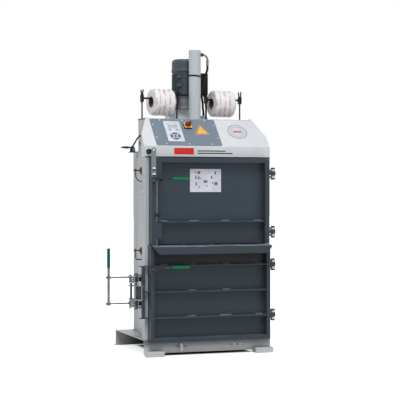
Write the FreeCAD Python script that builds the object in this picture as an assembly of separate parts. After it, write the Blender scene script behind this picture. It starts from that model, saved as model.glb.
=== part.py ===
"""Vertical recycling baler: a strapped-bale press with an upper and a lower door.

Millimetres. +X is to the right of someone facing the machine, -Y is its front, +Z is up.
The origin is on the floor, in the middle of the four floor-anchor holes.
Depths are measured backwards from the plane of the hood's front band.
"""

import FreeCAD
import Part
import math
import os

V = FreeCAD.Vector

# ---------------------------------------------------------------- driving sizes
# Clearances
running_gap = 0.3            # between pieces that move on each other
door_gap = 2.0               # between a closed door and the columns behind it

# Frame
body_width = 860.0           # across the two front columns and the hood
column_width = 80.0
column_depth = 68.0
column_wall = 4.0
chamber_depth = 547.0        # front band to the outside of the rear wall
chamber_top = 1323.0
chamber_sheet = 4.0
floor_thickness = 12.0
strap_spacing = 372.0        # between the two strap lanes
strap_lane = 24.0

# Base
base_top = 108.0
base_sheet = 5.0
base_depth = 648.0           # front band to the back of the rear web
base_front = 5.0
base_front_width = 872.0
base_rear_width = 904.0
base_flange = 50.0
anchor_hole = 14.0
anchor_spacing = 744.0
foot_length = 120.0
foot_depth = 65.0
foot_height = 36.0
foot_anchor_inset = 35.0     # front edge of a foot to its anchor hole
apron_lift = 18.0            # daylight under the middle of the apron
strap_slot_length = 80.0
strap_slot_height = 11.0
strap_slot_z = 58.0
strap_tail_top = 80.0
strap_tail_bottom = 28.0

# Press frame
upright_front = 190.0
upright_depth = 180.0
upright_flange = 16.0
upright_wall = 6.0
upright_top = 1540.0
crosshead_height = 90.0
crosshead_drop = 6.0         # below the top of the uprights
crosshead_margin = 11.0      # front and back, inside the uprights
crosshead_wall = 8.0

# Hood and its control panel
hood_sheet = 2.0
hood_bottom = 1282.0
hood_band = 67.0
hood_slope_depth = 188.0
hood_slope_rise = 187.0
hood_corner_depth = 74.0
hood_top_half = 372.0
hood_flange = 24.0
panel_left = -347.0
panel_width = 447.0
panel_margin = 5.0           # crease to panel edge, along the slope
panel_thickness = 3.0
panel_corner = 12.0
panel_screw_inset = 14.0
panel_screw_pitch = 156.0
panel_screw_diameter = 9.0
keypad_width = 112.0
keypad_length = 195.0
keypad_centre_x = -204.0
keypad_thickness = 3.0
key_ring_radius = 34.0
switch_plate_size = 52.0
switch_plate_height = 14.0
switch_x = -99.0
switch_slope = 190.0         # crease to the switch's centre, along the slope
knob_diameter = 44.0
knob_grip_angle = 35.0       # from across, at rest

# Cylinder, rod and platen
barrel_diameter = 80.0
barrel_wall = 8.0
barrel_bottom = 1398.0
barrel_top = 2003.0
rod_diameter = 40.0
piston_length = 40.0
press_stroke = 500.0
cylinder_flange_diameter = 150.0
cylinder_flange_thickness = 14.0
platen_side_gap = 7.0
platen_front = 10.0
platen_back_gap = 8.0
platen_plate = 10.0
platen_bottom = 1200.0
platen_height = 96.0

# Power pack
tank_left = -132.0
tank_width = 196.0
tank_top = 1611.0
motor_x = -23.0
motor_clearance = 22.0       # between the cylinder and the motor
motor_overhang = 30.0        # motor axis behind the tank's front
motor_diameter = 176.0
motor_fin = 9.0
fin_count = 30
end_shield = 36.0
upper_shield = 14.0
lug_zs = (1834.0, 1774.0)    # bosses for lifting eyes
lug_angle = -131.0           # from +X, seen from above: left of the front
lug_reach = 18.0
lug_width = 36.0
lug_tall = 22.0
bell_flange = 12.0
bell_taper = 7.0
bell_window = 60.0
bell_top = 1697.0
stator_top = 1866.0
cowl_top = 1951.0
terminal_height = 150.0
terminal_width = 62.0
terminal_depth = 100.0
port_z = 1974.0              # pressure port at the top of the cylinder
valve_top = 1562.0
valve_width = 70.0
lower_port_z = 1556.0

# Strap rolls on their stands
roll_diameter = 180.0
roll_width = 148.0
roll_inner = 78.0
core_wall = 4.5
roll_inset = 133.0           # outer post to the middle of the roll
roll_turns = 12
roll_yaws = (9.0, 5.5)       # how far the left and right rolls turn askew on their rods
spool_rod_diameter = 13.0
spool_rod_z = 1679.0
spool_offset = 71.0          # the stands stand this far behind the cylinder
post_diameter = 10.0
post_inset = 23.0            # outside of the upright to the outer post
post_spacing = 244.0
prong_spacing = 22.0          # at the saddle
prong_spread = 52.0           # at the tips
prong_diameter = 7.0
saddle_low = 1650.0
saddle_high = 1700.0
saddle_width = 18.0
saddle_depth = 32.0
prong_top = 1735.0

# Doors
upper_door_margin = 28.0     # body's edge to door's edge, each side
lower_door_margin = 22.0
door_depth = 66.0            # front band plane to the doors' front face
door_sheet = 4.0
lower_door_bottom = 93.0
lower_door_top = 712.0
lower_stile = 24.0
lower_bottom_rail = 27.0
upper_door_bottom = 718.0
upper_door_top = 1275.0
upper_left_stile = 34.0
upper_right_stile = 29.0
upper_top_rail = 32.0
upper_bottom_rail = 24.0
panel_setback = 50.0         # door front face to the recessed sheet
rib_thickness = 8.0
rib_reach = 42.0
hinge_standoff = 5.0         # right column to the hinge axis
hinge_depth = -40.0
hinge_pin = 16.0
lug_height = 24.0
thrust_washer = 5.0          # between a door's eye and the plated eye under it
lug_radius = 18.0
eye_height = 14.0
hinge_nut = 10.0
lip_reach = 65.0
lip_fall = 7.0
lip_face = 47.0
lip_end_margin = 4.0
lip_mitre = 39.0

# Levers and their green grips
grip_diameter = 15.0
lever_plate = 8.0
lever_pivot = 14.0
lever_bar = 10.0
lever_standoff = 44.0        # door front face to the lever's axis
lever_length = 224.0
grip_length = 116.0
upper_lever_z = 1138.0
lower_lever_z = 573.0

# Plated tongue on the upper door, for the hood's switch
tongue_width = 30.0
tongue_plate = 6.0
tongue_rise = 60.0           # above the door
tongue_overhang = 2.0        # past the door's left edge
tongue_bolt = 16.0
tongue_bolt_pitch = 37.0

# Coupling rod between the doors
coupling_rod_diameter = 8.0
coupling_rod_inset = 39.5    # upper door's left edge to the rod
coupling_hole = 14.0
coupling_rod_depth = -45.0
coupling_rod_top = 1225.0
coupling_travel = 30.0
ball_knob_diameter = 29.0
ball_knob_z = 906.0
ball_knob_standoff = 16.0

# Toggle latch of the lower door
latch_standoff = 42.0        # left column to the latch's main pin
latch_depth = 50.0
latch_pin = 12.0
latch_crank = 34.0
latch_handle_reach = 182.0
latch_upper_z = 493.0
latch_lower_z = 338.0
latch_upper_link_z = 508.0
latch_lower_link_z = 341.0
latch_hub_height = 46.0
latch_hub_radius = 15.0
latch_link = 10.0
latch_bar_width = 16.0
latch_bar_thickness = 8.0
latch_grip_length = 124.0
latch_grip_top = 694.0
hook_length = 119.0
hook_angle = -70.4           # from +X, seen from above: just clear of the keeper
hook_plate = 6.0
hook_pin = 10.0
hook_plate_zs = (370.0, 455.0)
keeper_standoff = 15.0       # left column's plane to the keeper's axis
keeper_depth = -20.0
keeper_size = 20.0
keeper_bottom = 246.0
keeper_top = 576.0

# Wire bows, side lever and small parts
bow_wire = 7.0
bow_reach = 46.0
bow_pin = 8.0
bow_depth = 262.0
upper_bow_z = 1196.0
lower_bow_z = 668.0
ejector_z = 1352.0
ejector_standoff = 38.0      # chamber wall to the lever's pin
ejector_gap = 60.0           # back of the upright to the lever
ejector_lever_length = 80.0
ejector_arm = 7.0
ejector_tip = 9.0            # of the lever, past its grip
ejector_grip_width = 16.0
side_cable_diameter = 10.0
strap_width = 14.0
strap_thickness = 1.2

# ---------------------------------------------------------------- derived places
front_anchor_depth = base_front - foot_depth + foot_anchor_inset
rear_anchor_depth = base_depth + base_flange / 2
front_y = -(front_anchor_depth + rear_anchor_depth) / 2
half_body = body_width / 2
chamber_half = half_body - column_width
wall_outside = chamber_half + chamber_sheet
upright_outside = wall_outside + upright_flange
upright_centre_depth = upright_front + upright_depth / 2
crosshead_top = upright_top - crosshead_drop
hood_crease = hood_bottom + hood_band
slope_length = math.hypot(hood_slope_depth, hood_slope_rise)
slope_angle = math.degrees(math.atan2(hood_slope_rise, hood_slope_depth))
half_upper = half_body - upper_door_margin
half_lower = half_body - lower_door_margin
lip_half_width = half_lower - lip_end_margin
hinge_x = half_body + hinge_standoff
coupling_rod_x = -half_upper + coupling_rod_inset
latch_x = -half_body - latch_standoff
keeper_x = -half_body - keeper_standoff
motor_depth = upright_centre_depth + barrel_diameter / 2 + motor_clearance + motor_diameter / 2
terminal_right = motor_x + motor_diameter / 2 + 2 + terminal_width
terminal_bottom = stator_top - 6 - terminal_height
tank_front = motor_depth - motor_overhang
post_outer_x = upright_outside - post_inset
post_inner_x = post_outer_x - post_spacing
roll_centre_x = post_outer_x - roll_inset
spool_depth = upright_centre_depth + spool_offset
ejector_x = -wall_outside - ejector_standoff
ejector_depth = upright_front + upright_depth + ejector_gap
door_front = -door_depth
door_back = -door_gap
panel_face = door_front + panel_setback
lane_x = strap_spacing / 2


def y_at(depth):
    """Y of a place that lies this far behind the hood's front band."""
    return front_y + depth


# ---------------------------------------------------------------- shape helpers
def fuse(shapes):
    whole = shapes[0]
    if len(shapes) > 1:
        whole = whole.multiFuse(shapes[1:])
    return whole.removeSplitter()


def box(x0, x1, d0, d1, z0, z1):
    """A block between two X, two depths and two heights."""
    return Part.makeBox(x1 - x0, d1 - d0, z1 - z0, V(x0, y_at(d0), z0))


def rod_z(x, depth, z0, z1, diameter):
    return Part.makeCylinder(diameter / 2, z1 - z0, V(x, y_at(depth), z0), V(0, 0, 1))


def rod_x(x0, x1, depth, z, diameter):
    return Part.makeCylinder(diameter / 2, x1 - x0, V(x0, y_at(depth), z), V(1, 0, 0))


def rod_y(x, d0, d1, z, diameter):
    return Part.makeCylinder(diameter / 2, d1 - d0, V(x, y_at(d0), z), V(0, 1, 0))


def mirrored(shape):
    """The same piece on the other side of the machine."""
    return shape.mirror(V(0, 0, 0), V(1, 0, 0))


def rounded_outline(corners):
    """A closed face from (u, v, radius) corners, flat on the XY plane."""
    count = len(corners)
    edges = []
    starts = []
    ends = []
    for i in range(count):
        u, v, radius = corners[i]
        here = V(u, v, 0)
        before = V(corners[i - 1][0], corners[i - 1][1], 0) - here
        after = V(corners[(i + 1) % count][0], corners[(i + 1) % count][1], 0) - here
        before.normalize()
        after.normalize()
        if radius <= 0:
            starts.append(here)
            ends.append(here)
            continue
        half = before.getAngle(after) / 2
        reach = radius / math.tan(half)
        middle = before + after
        middle.normalize()
        centre = here + middle * (radius / math.sin(half))
        first = here + before * reach
        last = here + after * reach
        starts.append(first)
        ends.append(last)
        edges.append((i, Part.Arc(first, centre - middle * radius, last).toShape()))
    arcs = dict(edges)
    wire = []
    for i in range(count):
        if i in arcs:
            wire.append(arcs[i])
        following = starts[(i + 1) % count]
        if ends[i].distanceToPoint(following) > 1e-6:
            wire.append(Part.LineSegment(ends[i], following).toShape())
    return Part.Face(Part.Wire(wire))


def upright_prism(corners, z0, z1):
    """Extrude (x, depth, radius) corners upwards."""
    face = rounded_outline(corners)
    solid = face.extrude(V(0, 0, z1 - z0))
    solid.translate(V(0, front_y, z0))
    return solid


def side_prism(corners, x0, x1):
    """Extrude (depth, z, radius) corners along X."""
    face = rounded_outline(corners)
    solid = face.extrude(V(0, 0, x1 - x0))
    solid.transformShape(FreeCAD.Matrix(0, 0, 1, x0, 1, 0, 0, front_y, 0, 1, 0, 0, 0, 0, 0, 1))
    return solid


def front_prism(corners, d0, d1):
    """Extrude (x, z, radius) corners backwards from one depth to another."""
    face = rounded_outline(corners)
    solid = face.extrude(V(0, 0, d1 - d0))
    solid.transformShape(FreeCAD.Matrix(1, 0, 0, 0, 0, 0, 1, y_at(d0), 0, 1, 0, 0, 0, 0, 0, 1))
    return solid


def rounded_rectangle(u0, u1, v0, v1, radius):
    return [(u0, v0, radius), (u1, v0, radius), (u1, v1, radius), (u0, v1, radius)]


def folded_outline(path, thickness, bend):
    """Corners of a folded sheet: the path is one face, the sheet lies to its left.

    A negative thickness puts the sheet to the right of the path.
    """
    count = len(path)
    outside_bend = bend + abs(thickness)
    other = []
    radii = []
    for i in range(count):
        here = V(path[i][0], path[i][1], 0)
        normals = []
        if i > 0:
            along = here - V(path[i - 1][0], path[i - 1][1], 0)
            along.normalize()
            normals.append(V(-along.y, along.x, 0))
        if i < count - 1:
            along = V(path[i + 1][0], path[i + 1][1], 0) - here
            along.normalize()
            normals.append(V(-along.y, along.x, 0))
        if len(normals) == 1:
            other.append(here + normals[0] * thickness)
            radii.append((0, 0))
            continue
        middle = normals[0] + normals[1]
        middle.normalize()
        other.append(here + middle * (thickness / middle.dot(normals[0])))
        left_turn = normals[0].cross(normals[1]).z > 0
        path_outside = left_turn == (thickness > 0)
        radii.append((outside_bend, bend) if path_outside else (bend, outside_bend))
    near = [(path[i][0], path[i][1], radii[i][0]) for i in range(count)]
    far = [(other[i].x, other[i].y, radii[i][1]) for i in reversed(range(count))]
    return near + far


def on_slope(shape):
    """Lay a piece drawn flat, X across and Y up the slope, onto the hood's slope."""
    shape.rotate(V(0, 0, 0), V(1, 0, 0), slope_angle)
    shape.translate(V(0, front_y, hood_crease))
    return shape


def slope_block(x0, x1, s0, s1, low, high, radius):
    face = rounded_outline(rounded_rectangle(x0, x1, s0, s1, radius))
    solid = face.extrude(V(0, 0, high - low))
    solid.translate(V(0, 0, low))
    return solid


def tube_route(points, diameter):
    """A held hose or cable: straight runs joined by arcs as large as the runs allow."""
    places = [V(x, y_at(depth), z) for x, depth, z in points]
    edges = []
    radii = []
    start = places[0]
    for i in range(1, len(places) - 1):
        before = places[i - 1] - places[i]
        after = places[i + 1] - places[i]
        shorter = min(before.Length, after.Length)
        before.normalize()
        after.normalize()
        half = before.getAngle(after) / 2
        reach = 0.45 * shorter
        radius = reach * math.tan(half)
        radii.append(radius)
        middle = before + after
        middle.normalize()
        centre = places[i] + middle * (radius / math.sin(half))
        first = places[i] + before * reach
        last = places[i] + after * reach
        edges.append(Part.LineSegment(start, first).toShape())
        edges.append(Part.Arc(first, centre - middle * radius, last).toShape())
        start = last
    edges.append(Part.LineSegment(start, places[-1]).toShape())
    path = Part.Wire(edges)
    section = Part.Wire(Part.makeCircle(diameter / 2, places[0], places[1] - places[0]))
    tube = path.makePipeShell([section], True, False)
    expected = math.pi * diameter * diameter / 4 * path.Length
    print("tube", round(path.Length, 1), "mm, radii", [round(r) for r in radii],
          "volume share", round(tube.Volume / expected, 4))
    return tube


def hexagon(across_flats, x, depth, z0, z1):
    radius = across_flats / math.sqrt(3)
    corners = []
    for i in range(6):
        angle = math.radians(60 * i)
        corners.append((x + radius * math.cos(angle), depth + radius * math.sin(angle), 0))
    return upright_prism(corners, z0, z1)


parts = {}


# ---------------------------------------------------------------- base
def base_plate():
    """One sheet: deck plate, folded down as the rear web and out as the floor flange."""
    half = base_rear_width / 2
    outline = folded_outline(
        [
            (base_front, base_top - base_sheet),
            (base_depth - base_sheet, base_top - base_sheet),
            (base_depth - base_sheet, 0),
            (base_depth + base_flange, 0),
        ],
        base_sheet,
        3.0,
    )
    sheet = side_prism(outline, -half, half)
    flare = base_rear_width / 2 - base_front_width / 2
    for side in (-1, 1):
        wedge = upright_prism(
            [
                (side * half, base_front - 1, 0),
                (side * (half - flare), base_front - 1, 0),
                (side * half, base_depth, 0),
            ],
            base_top - 2 * base_sheet,
            base_top + 1,
        )
        sheet = sheet.cut(wedge)
        hole = rod_z(side * anchor_spacing / 2, rear_anchor_depth, -1, base_sheet + 1, anchor_hole)
        sheet = sheet.cut(hole)
    return sheet


def front_apron():
    """The cross plate under the doors, with the two strap slots."""
    half = base_front_width / 2 - 3
    step = half - foot_length
    top = base_top - base_sheet
    corners = [
        (-half, top, 0),
        (-half, 0, 22),
        (-step, 0, 4),
        (-step + 6, apron_lift, 6),
        (step - 6, apron_lift, 6),
        (step, 0, 4),
        (half, 0, 22),
        (half, top, 0),
    ]
    plate = front_prism(corners, base_front, base_front + base_sheet)
    low = strap_slot_z - strap_slot_height / 2
    high = strap_slot_z + strap_slot_height / 2
    for x in (-lane_x, lane_x):
        slot = rounded_rectangle(
            x - strap_slot_length / 2, x + strap_slot_length / 2, low, high, strap_slot_height / 2 - 0.2
        )
        plate = plate.cut(front_prism(slot, base_front - 1, base_front + base_sheet + 1))
    return plate


def front_feet():
    """Two flat bars the machine stands on in front, each with an anchor hole."""
    middle = anchor_spacing / 2
    feet = []
    for side in (-1, 1):
        x0 = side * middle - foot_length / 2
        outline = rounded_rectangle(x0, x0 + foot_length, base_front - foot_depth, base_front, 5)
        foot = upright_prism(outline, 0, foot_height)
        edges = [e for e in foot.Edges if abs(e.BoundBox.ZMin - foot_height) < 0.01]
        foot = foot.makeChamfer(3, edges)
        hole = rod_z(side * middle, front_anchor_depth, -1, foot_height + 1, anchor_hole)
        feet.append(foot.cut(hole))
    return Part.makeCompound(feet)


parts["base_plate"] = base_plate()
parts["front_apron"] = front_apron()
parts["front_feet"] = front_feet()


# ---------------------------------------------------------------- press chamber
def column():
    """A folded box section: left door post."""
    outer = rounded_rectangle(-half_body, -chamber_half, 0, column_depth, 7)
    inner = rounded_rectangle(
        -half_body + column_wall, -chamber_half - column_wall, column_wall, column_depth - column_wall, 3
    )
    post = upright_prism(outer, base_top, hood_bottom)
    return post.cut(upright_prism(inner, base_top - 1, hood_bottom + 1))


def chamber_shell():
    """Left wall, rear wall and right wall folded from one sheet."""
    path = [
        (-chamber_half, column_depth),
        (-chamber_half, chamber_depth - chamber_sheet),
        (chamber_half, chamber_depth - chamber_sheet),
        (chamber_half, column_depth),
    ]
    outline = folded_outline(path, chamber_sheet, 5.0)
    return upright_prism(outline, base_top, chamber_top)


def chamber_floor():
    """The thick floor plate, with a groove for each strap."""
    outline = [
        (-chamber_half, hood_sheet, 0),
        (chamber_half, hood_sheet, 0),
        (chamber_half, chamber_depth - chamber_sheet, 7),
        (-chamber_half, chamber_depth - chamber_sheet, 7),
    ]
    plate = upright_prism(outline, base_top, base_top + floor_thickness)
    for x in (-lane_x, lane_x):
        groove = box(
            x - strap_lane / 2, x + strap_lane / 2, 0, chamber_depth,
            base_top + floor_thickness / 3, base_top + floor_thickness + 1,
        )
        plate = plate.cut(groove)
    return plate


def chamber_deck():
    """The sheet that closes the chamber's top, folded down in front as the door header."""
    header_drop = 64.0
    outline = folded_outline(
        [
            (chamber_depth, chamber_top),
            (hood_sheet + chamber_sheet, chamber_top),
            (hood_sheet + chamber_sheet, chamber_top - header_drop),
        ],
        -chamber_sheet,
        4.0,
    )
    sheet = side_prism(outline, -wall_outside, wall_outside)
    for side in (-1, 1):
        x0, x1 = sorted((side * (chamber_half - running_gap), side * (wall_outside + 1)))
        notch = box(x0, x1, 0, column_depth, chamber_top - header_drop - 1, chamber_top + 2 * chamber_sheet)
        sheet = sheet.cut(notch)
    opening = rod_z(0, upright_centre_depth, chamber_top - 1, chamber_top + 2 * chamber_sheet, rod_diameter * 3)
    return sheet.cut(opening)


parts["left_column"] = column()
parts["right_column"] = mirrored(parts["left_column"])
parts["chamber_shell"] = chamber_shell()
parts["chamber_floor"] = chamber_floor()
parts["chamber_deck"] = chamber_deck()


# ---------------------------------------------------------------- press frame
def upright():
    """A folded channel that stands outside the left chamber wall."""
    path = [
        (-wall_outside, upright_front + upright_depth),
        (-upright_outside, upright_front + upright_depth),
        (-upright_outside, upright_front),
        (-wall_outside, upright_front),
    ]
    outline = folded_outline(path, upright_wall, 4.0)
    return upright_prism(outline, base_top, upright_top)


def crosshead():
    """The box beam between the uprights that carries the cylinder."""
    half = upright_outside - upright_wall
    low = crosshead_top - crosshead_height
    d0 = upright_front + crosshead_margin
    d1 = upright_front + upright_depth - crosshead_margin
    outer = side_prism(rounded_rectangle(d0, d1, low, crosshead_top, 10), -half, half)
    wall = crosshead_wall
    inner = side_prism(
        rounded_rectangle(d0 + wall, d1 - wall, low + wall, crosshead_top - wall, 3), -half - 1, half + 1
    )
    bore = rod_z(0, upright_centre_depth, low - 1, crosshead_top + 1, barrel_diameter + 2 * running_gap)
    return outer.cut(inner).cut(bore)


parts["left_upright"] = upright()
parts["right_upright"] = mirrored(parts["left_upright"])
parts["crosshead"] = crosshead()


# ---------------------------------------------------------------- hood and control panel
def hood_body(inset):
    """The hood's outer form, or the space inside it when inset by the sheet."""
    slope_shift = inset / math.cos(math.radians(slope_angle))
    low = hood_bottom if inset == 0 else hood_bottom - 1
    back = hood_slope_depth if inset == 0 else hood_slope_depth + 1
    top = hood_crease + hood_slope_rise * back / hood_slope_depth - slope_shift
    crease = hood_crease + inset * hood_slope_rise / hood_slope_depth - slope_shift
    side = side_prism(
        [(inset, low, 0), (inset, crease, 0), (back, top, 0), (back, low, 0)], -half_body, half_body
    )
    taper = (half_body - hood_top_half) / (hood_slope_depth - hood_corner_depth)
    edge_shift = inset * math.hypot(1, taper)
    wide = half_body - inset
    corner = hood_corner_depth + (inset - edge_shift) / -taper
    narrow = half_body - edge_shift - taper * (back - hood_corner_depth)
    plan = upright_prism(
        [
            (-wide, inset, 0),
            (wide, inset, 0),
            (wide, corner, 0),
            (narrow, back, 0),
            (-narrow, back, 0),
            (-wide, corner, 0),
        ],
        low - 1,
        top + 10,
    )
    return side.common(plan)


def hood():
    """A folded and welded sheet cover: front band, slope, cut-back corners, top flange."""
    shell = hood_body(0).cut(hood_body(hood_sheet))
    return_lip = box(
        -chamber_half, chamber_half, 0, hood_sheet, hood_bottom, hood_bottom + hood_band / 2
    )
    top = hood_crease + hood_slope_rise
    flange = box(
        -chamber_half, chamber_half,
        hood_slope_depth - 2 * hood_sheet, hood_slope_depth + hood_flange, top - hood_sheet, top,
    )
    return fuse([shell, return_lip, flange])


def panel_plate():
    low = slope_length - panel_margin
    plate = slope_block(
        panel_left, panel_left + panel_width, panel_margin, low, 0, panel_thickness, panel_corner
    )
    return on_slope(plate)


def panel_screws():
    """Domed screws round the control panel, and three on the hood's top flange."""
    centre = panel_left + panel_width / 2
    places = []
    for s in (panel_margin + panel_screw_inset, slope_length - panel_margin - panel_screw_inset):
        for step in (-1, 0, 1):
            places.append((centre + step * panel_screw_pitch, s))
    for x in (panel_left + panel_screw_inset, panel_left + panel_width - panel_screw_inset):
        for share in (0.3, 0.77):
            places.append((x, slope_length * share))
    screws = []
    for x, s in places:
        screws.append(on_slope(screw_head(x, s, panel_thickness)))
    flange_top = hood_crease + hood_slope_rise
    for x in (-312.0, 127.0, 208.0):
        head = screw_head(x, y_at(hood_slope_depth + hood_flange / 2), flange_top)
        screws.append(head)
    return Part.makeCompound(screws)


def screw_head(x, y, z):
    """A low domed head standing on the height z."""
    radius = panel_screw_diameter / 2
    height = radius * 0.6
    ball = (radius * radius + height * height) / (2 * height)
    dome = Part.makeSphere(ball, V(x, y, z + height - ball))
    return dome.common(Part.makeCylinder(radius, height, V(x, y, z)))


def keypad():
    """Membrane keypad: a flat housing with a window recess and raised keys."""
    x0 = keypad_centre_x - keypad_width / 2
    x1 = keypad_centre_x + keypad_width / 2
    s0 = (slope_length - keypad_length) / 2 + 5
    s1 = s0 + keypad_length
    low = panel_thickness
    high = panel_thickness + keypad_thickness
    body = slope_block(x0, x1, s0, s1, low, high, 4)
    window_margin = 22.0
    window_height = 33.0
    window_top = s1 - 32
    window = slope_block(
        x0 + window_margin, x1 - window_margin, window_top - window_height, window_top, high - 1, high + 1, 2
    )
    pieces = [body.cut(window)]
    ring_s = s0 + 60
    key_top = high + 1.2
    for side in (-1, 1):
        x = keypad_centre_x + side * 24
        pieces.append(slope_block(x - 8, x + 8, ring_s + 46, ring_s + 58, high, key_top, 4))
    centre = V(keypad_centre_x, ring_s, high)
    ring = Part.makeCylinder(key_ring_radius, key_top - high, centre)
    ring = ring.cut(Part.makeCylinder(key_ring_radius - 18, key_top - high, centre))
    for angle in (45, 135):
        bar = Part.makeBox(2 * key_ring_radius + 4, 9, 4, V(-key_ring_radius - 2, -4.5, -1))
        bar.rotate(V(0, 0, 0), V(0, 0, 1), angle)
        bar.translate(centre)
        ring = ring.cut(bar)
    pieces.append(ring)
    pieces.append(Part.makeCylinder(11, key_top - high, centre))
    return on_slope(fuse(pieces))


def switch_plate():
    half = switch_plate_size / 2
    plate = slope_block(
        switch_x - half, switch_x + half, switch_slope - half, switch_slope + half,
        panel_thickness, panel_thickness + switch_plate_height, 5,
    )
    spindle = Part.makeCylinder(
        5, 8, V(switch_x, switch_slope, panel_thickness + switch_plate_height)
    )
    return on_slope(fuse([plate, spindle]))


def switch_knob():
    """Round main-switch knob with a bar grip, on the plate's spindle."""
    low = panel_thickness + switch_plate_height + running_gap
    centre = V(switch_x, switch_slope, low)
    disc = Part.makeCylinder(knob_diameter / 2, 11, centre)
    grip = slope_block(
        switch_x - knob_diameter / 2 - 6, switch_x + knob_diameter / 2 + 6,
        switch_slope - 8, switch_slope + 8, low, low + 27, 7,
    )
    edges = [e for e in grip.Edges if e.BoundBox.ZMin > low + 26]
    grip = grip.makeFillet(3, edges)
    grip.rotate(centre, V(0, 0, 1), knob_grip_angle)
    knob = fuse([disc, grip])
    knob = knob.cut(Part.makeCylinder(5 + running_gap, 9, centre))
    return on_slope(knob)


parts["hood"] = hood()
parts["panel_plate"] = panel_plate()
parts["panel_screws"] = panel_screws()
parts["keypad"] = keypad()
parts["switch_plate"] = switch_plate()
parts["switch_knob"] = switch_knob()


# ---------------------------------------------------------------- cylinder and platen
def cylinder_barrel():
    """Barrel with its welded end cap and the mounting flange under the crosshead."""
    y = y_at(upright_centre_depth)
    radius = barrel_diameter / 2
    barrel = Part.makeCylinder(radius, barrel_top - barrel_bottom, V(0, y, barrel_bottom))
    rim = [e for e in barrel.Edges if e.BoundBox.ZMin > barrel_top - 0.01]
    barrel = barrel.makeFillet(6, rim)
    cap = 18.0
    bore = Part.makeCylinder(
        radius - barrel_wall, barrel_top - cap - barrel_bottom + 1, V(0, y, barrel_bottom - 1)
    )
    flange_top = crosshead_top - crosshead_height
    flange = Part.makeCylinder(
        cylinder_flange_diameter / 2, cylinder_flange_thickness,
        V(0, y, flange_top - cylinder_flange_thickness),
    )
    return fuse([barrel, flange]).cut(bore)


def cylinder_gland():
    """The gland that closes the barrel round the rod."""
    y = y_at(upright_centre_depth)
    spigot = 30.0
    collar = 14.0
    inner = rod_diameter / 2 + running_gap
    outer = barrel_diameter / 2
    fit = outer - barrel_wall
    profile = [
        V(inner, 0, barrel_bottom - collar),
        V(outer, 0, barrel_bottom - collar),
        V(outer, 0, barrel_bottom),
        V(fit, 0, barrel_bottom),
        V(fit, 0, barrel_bottom + spigot),
        V(inner, 0, barrel_bottom + spigot),
        V(inner, 0, barrel_bottom - collar),
    ]
    ring = Part.Face(Part.makePolygon(profile)).revolve(V(0, 0, 0), V(0, 0, 1), 360)
    ring.translate(V(0, y, 0))
    return ring


def piston_rod():
    """Rod and piston, shown retracted."""
    y = y_at(upright_centre_depth)
    piston_top = barrel_top - 26
    base = platen_bottom + platen_height
    rod = Part.makeCylinder(rod_diameter / 2, piston_top - base, V(0, y, base))
    radius = barrel_diameter / 2 - barrel_wall - running_gap
    piston = Part.makeCylinder(radius, piston_length, V(0, y, piston_top - piston_length))
    return fuse([rod, piston])


def press_platen():
    """Welded platen: pressing plate with strap grooves, a grid of webs and the rod's boss."""
    half = chamber_half - platen_side_gap
    back = chamber_depth - chamber_sheet - platen_back_gap
    top_plate = 8.0
    web = 8.0
    top = platen_bottom + platen_height
    pressing = upright_prism(
        rounded_rectangle(-half, half, platen_front, back, 6), platen_bottom, platen_bottom + 2 * platen_plate
    )
    for x in (-lane_x, lane_x):
        groove = box(
            x - strap_lane / 2, x + strap_lane / 2, 0, chamber_depth,
            platen_bottom - 1, platen_bottom + platen_plate,
        )
        pressing = pressing.cut(groove)
    pieces = [pressing]
    web_low = platen_bottom + 2 * platen_plate
    for depth in (upright_centre_depth - 70, upright_centre_depth + 70):
        pieces.append(box(-half + 20, half - 20, depth - web / 2, depth + web / 2, web_low, top - top_plate))
    for share in (-0.9, -0.3, 0.3, 0.9):
        x = share * half
        pieces.append(box(x - web / 2, x + web / 2, platen_front + 20, back - 20, web_low, top - top_plate))
    pieces.append(
        box(-140, 140, upright_centre_depth - 90, upright_centre_depth + 90, top - top_plate, top)
    )
    return fuse(pieces)


parts["cylinder_barrel"] = cylinder_barrel()
parts["cylinder_gland"] = cylinder_gland()
parts["piston_rod"] = piston_rod()
parts["press_platen"] = press_platen()


# ---------------------------------------------------------------- power pack
tank_right = tank_left + tank_width
tank_back = chamber_depth
deck_top = chamber_top + chamber_sheet
valve_right = tank_right + valve_width
hose_diameter = 15.0
hose_end_x = tank_right + 46
hose_end_depth = tank_front + 24
cable_diameter = 13.0
cable_x = terminal_right - 19
cable_depth = motor_depth - 32


def oil_tank():
    """The oil tank on the chamber deck, with its lid and the valve block on its right."""
    body = upright_prism(
        rounded_rectangle(tank_left, tank_right, tank_front, tank_back, 12), deck_top, tank_top - 6
    )
    lid = upright_prism(
        rounded_rectangle(tank_left - 6, tank_right + 6, tank_front - 6, tank_back, 8), tank_top - 6, tank_top
    )
    block = box(tank_right, valve_right, tank_front + 4, tank_front + 64, valve_top - 110, valve_top)
    union = rod_z(hose_end_x, hose_end_depth, valve_top, valve_top + 12, 26)
    return fuse([body, lid, block, union])


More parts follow.
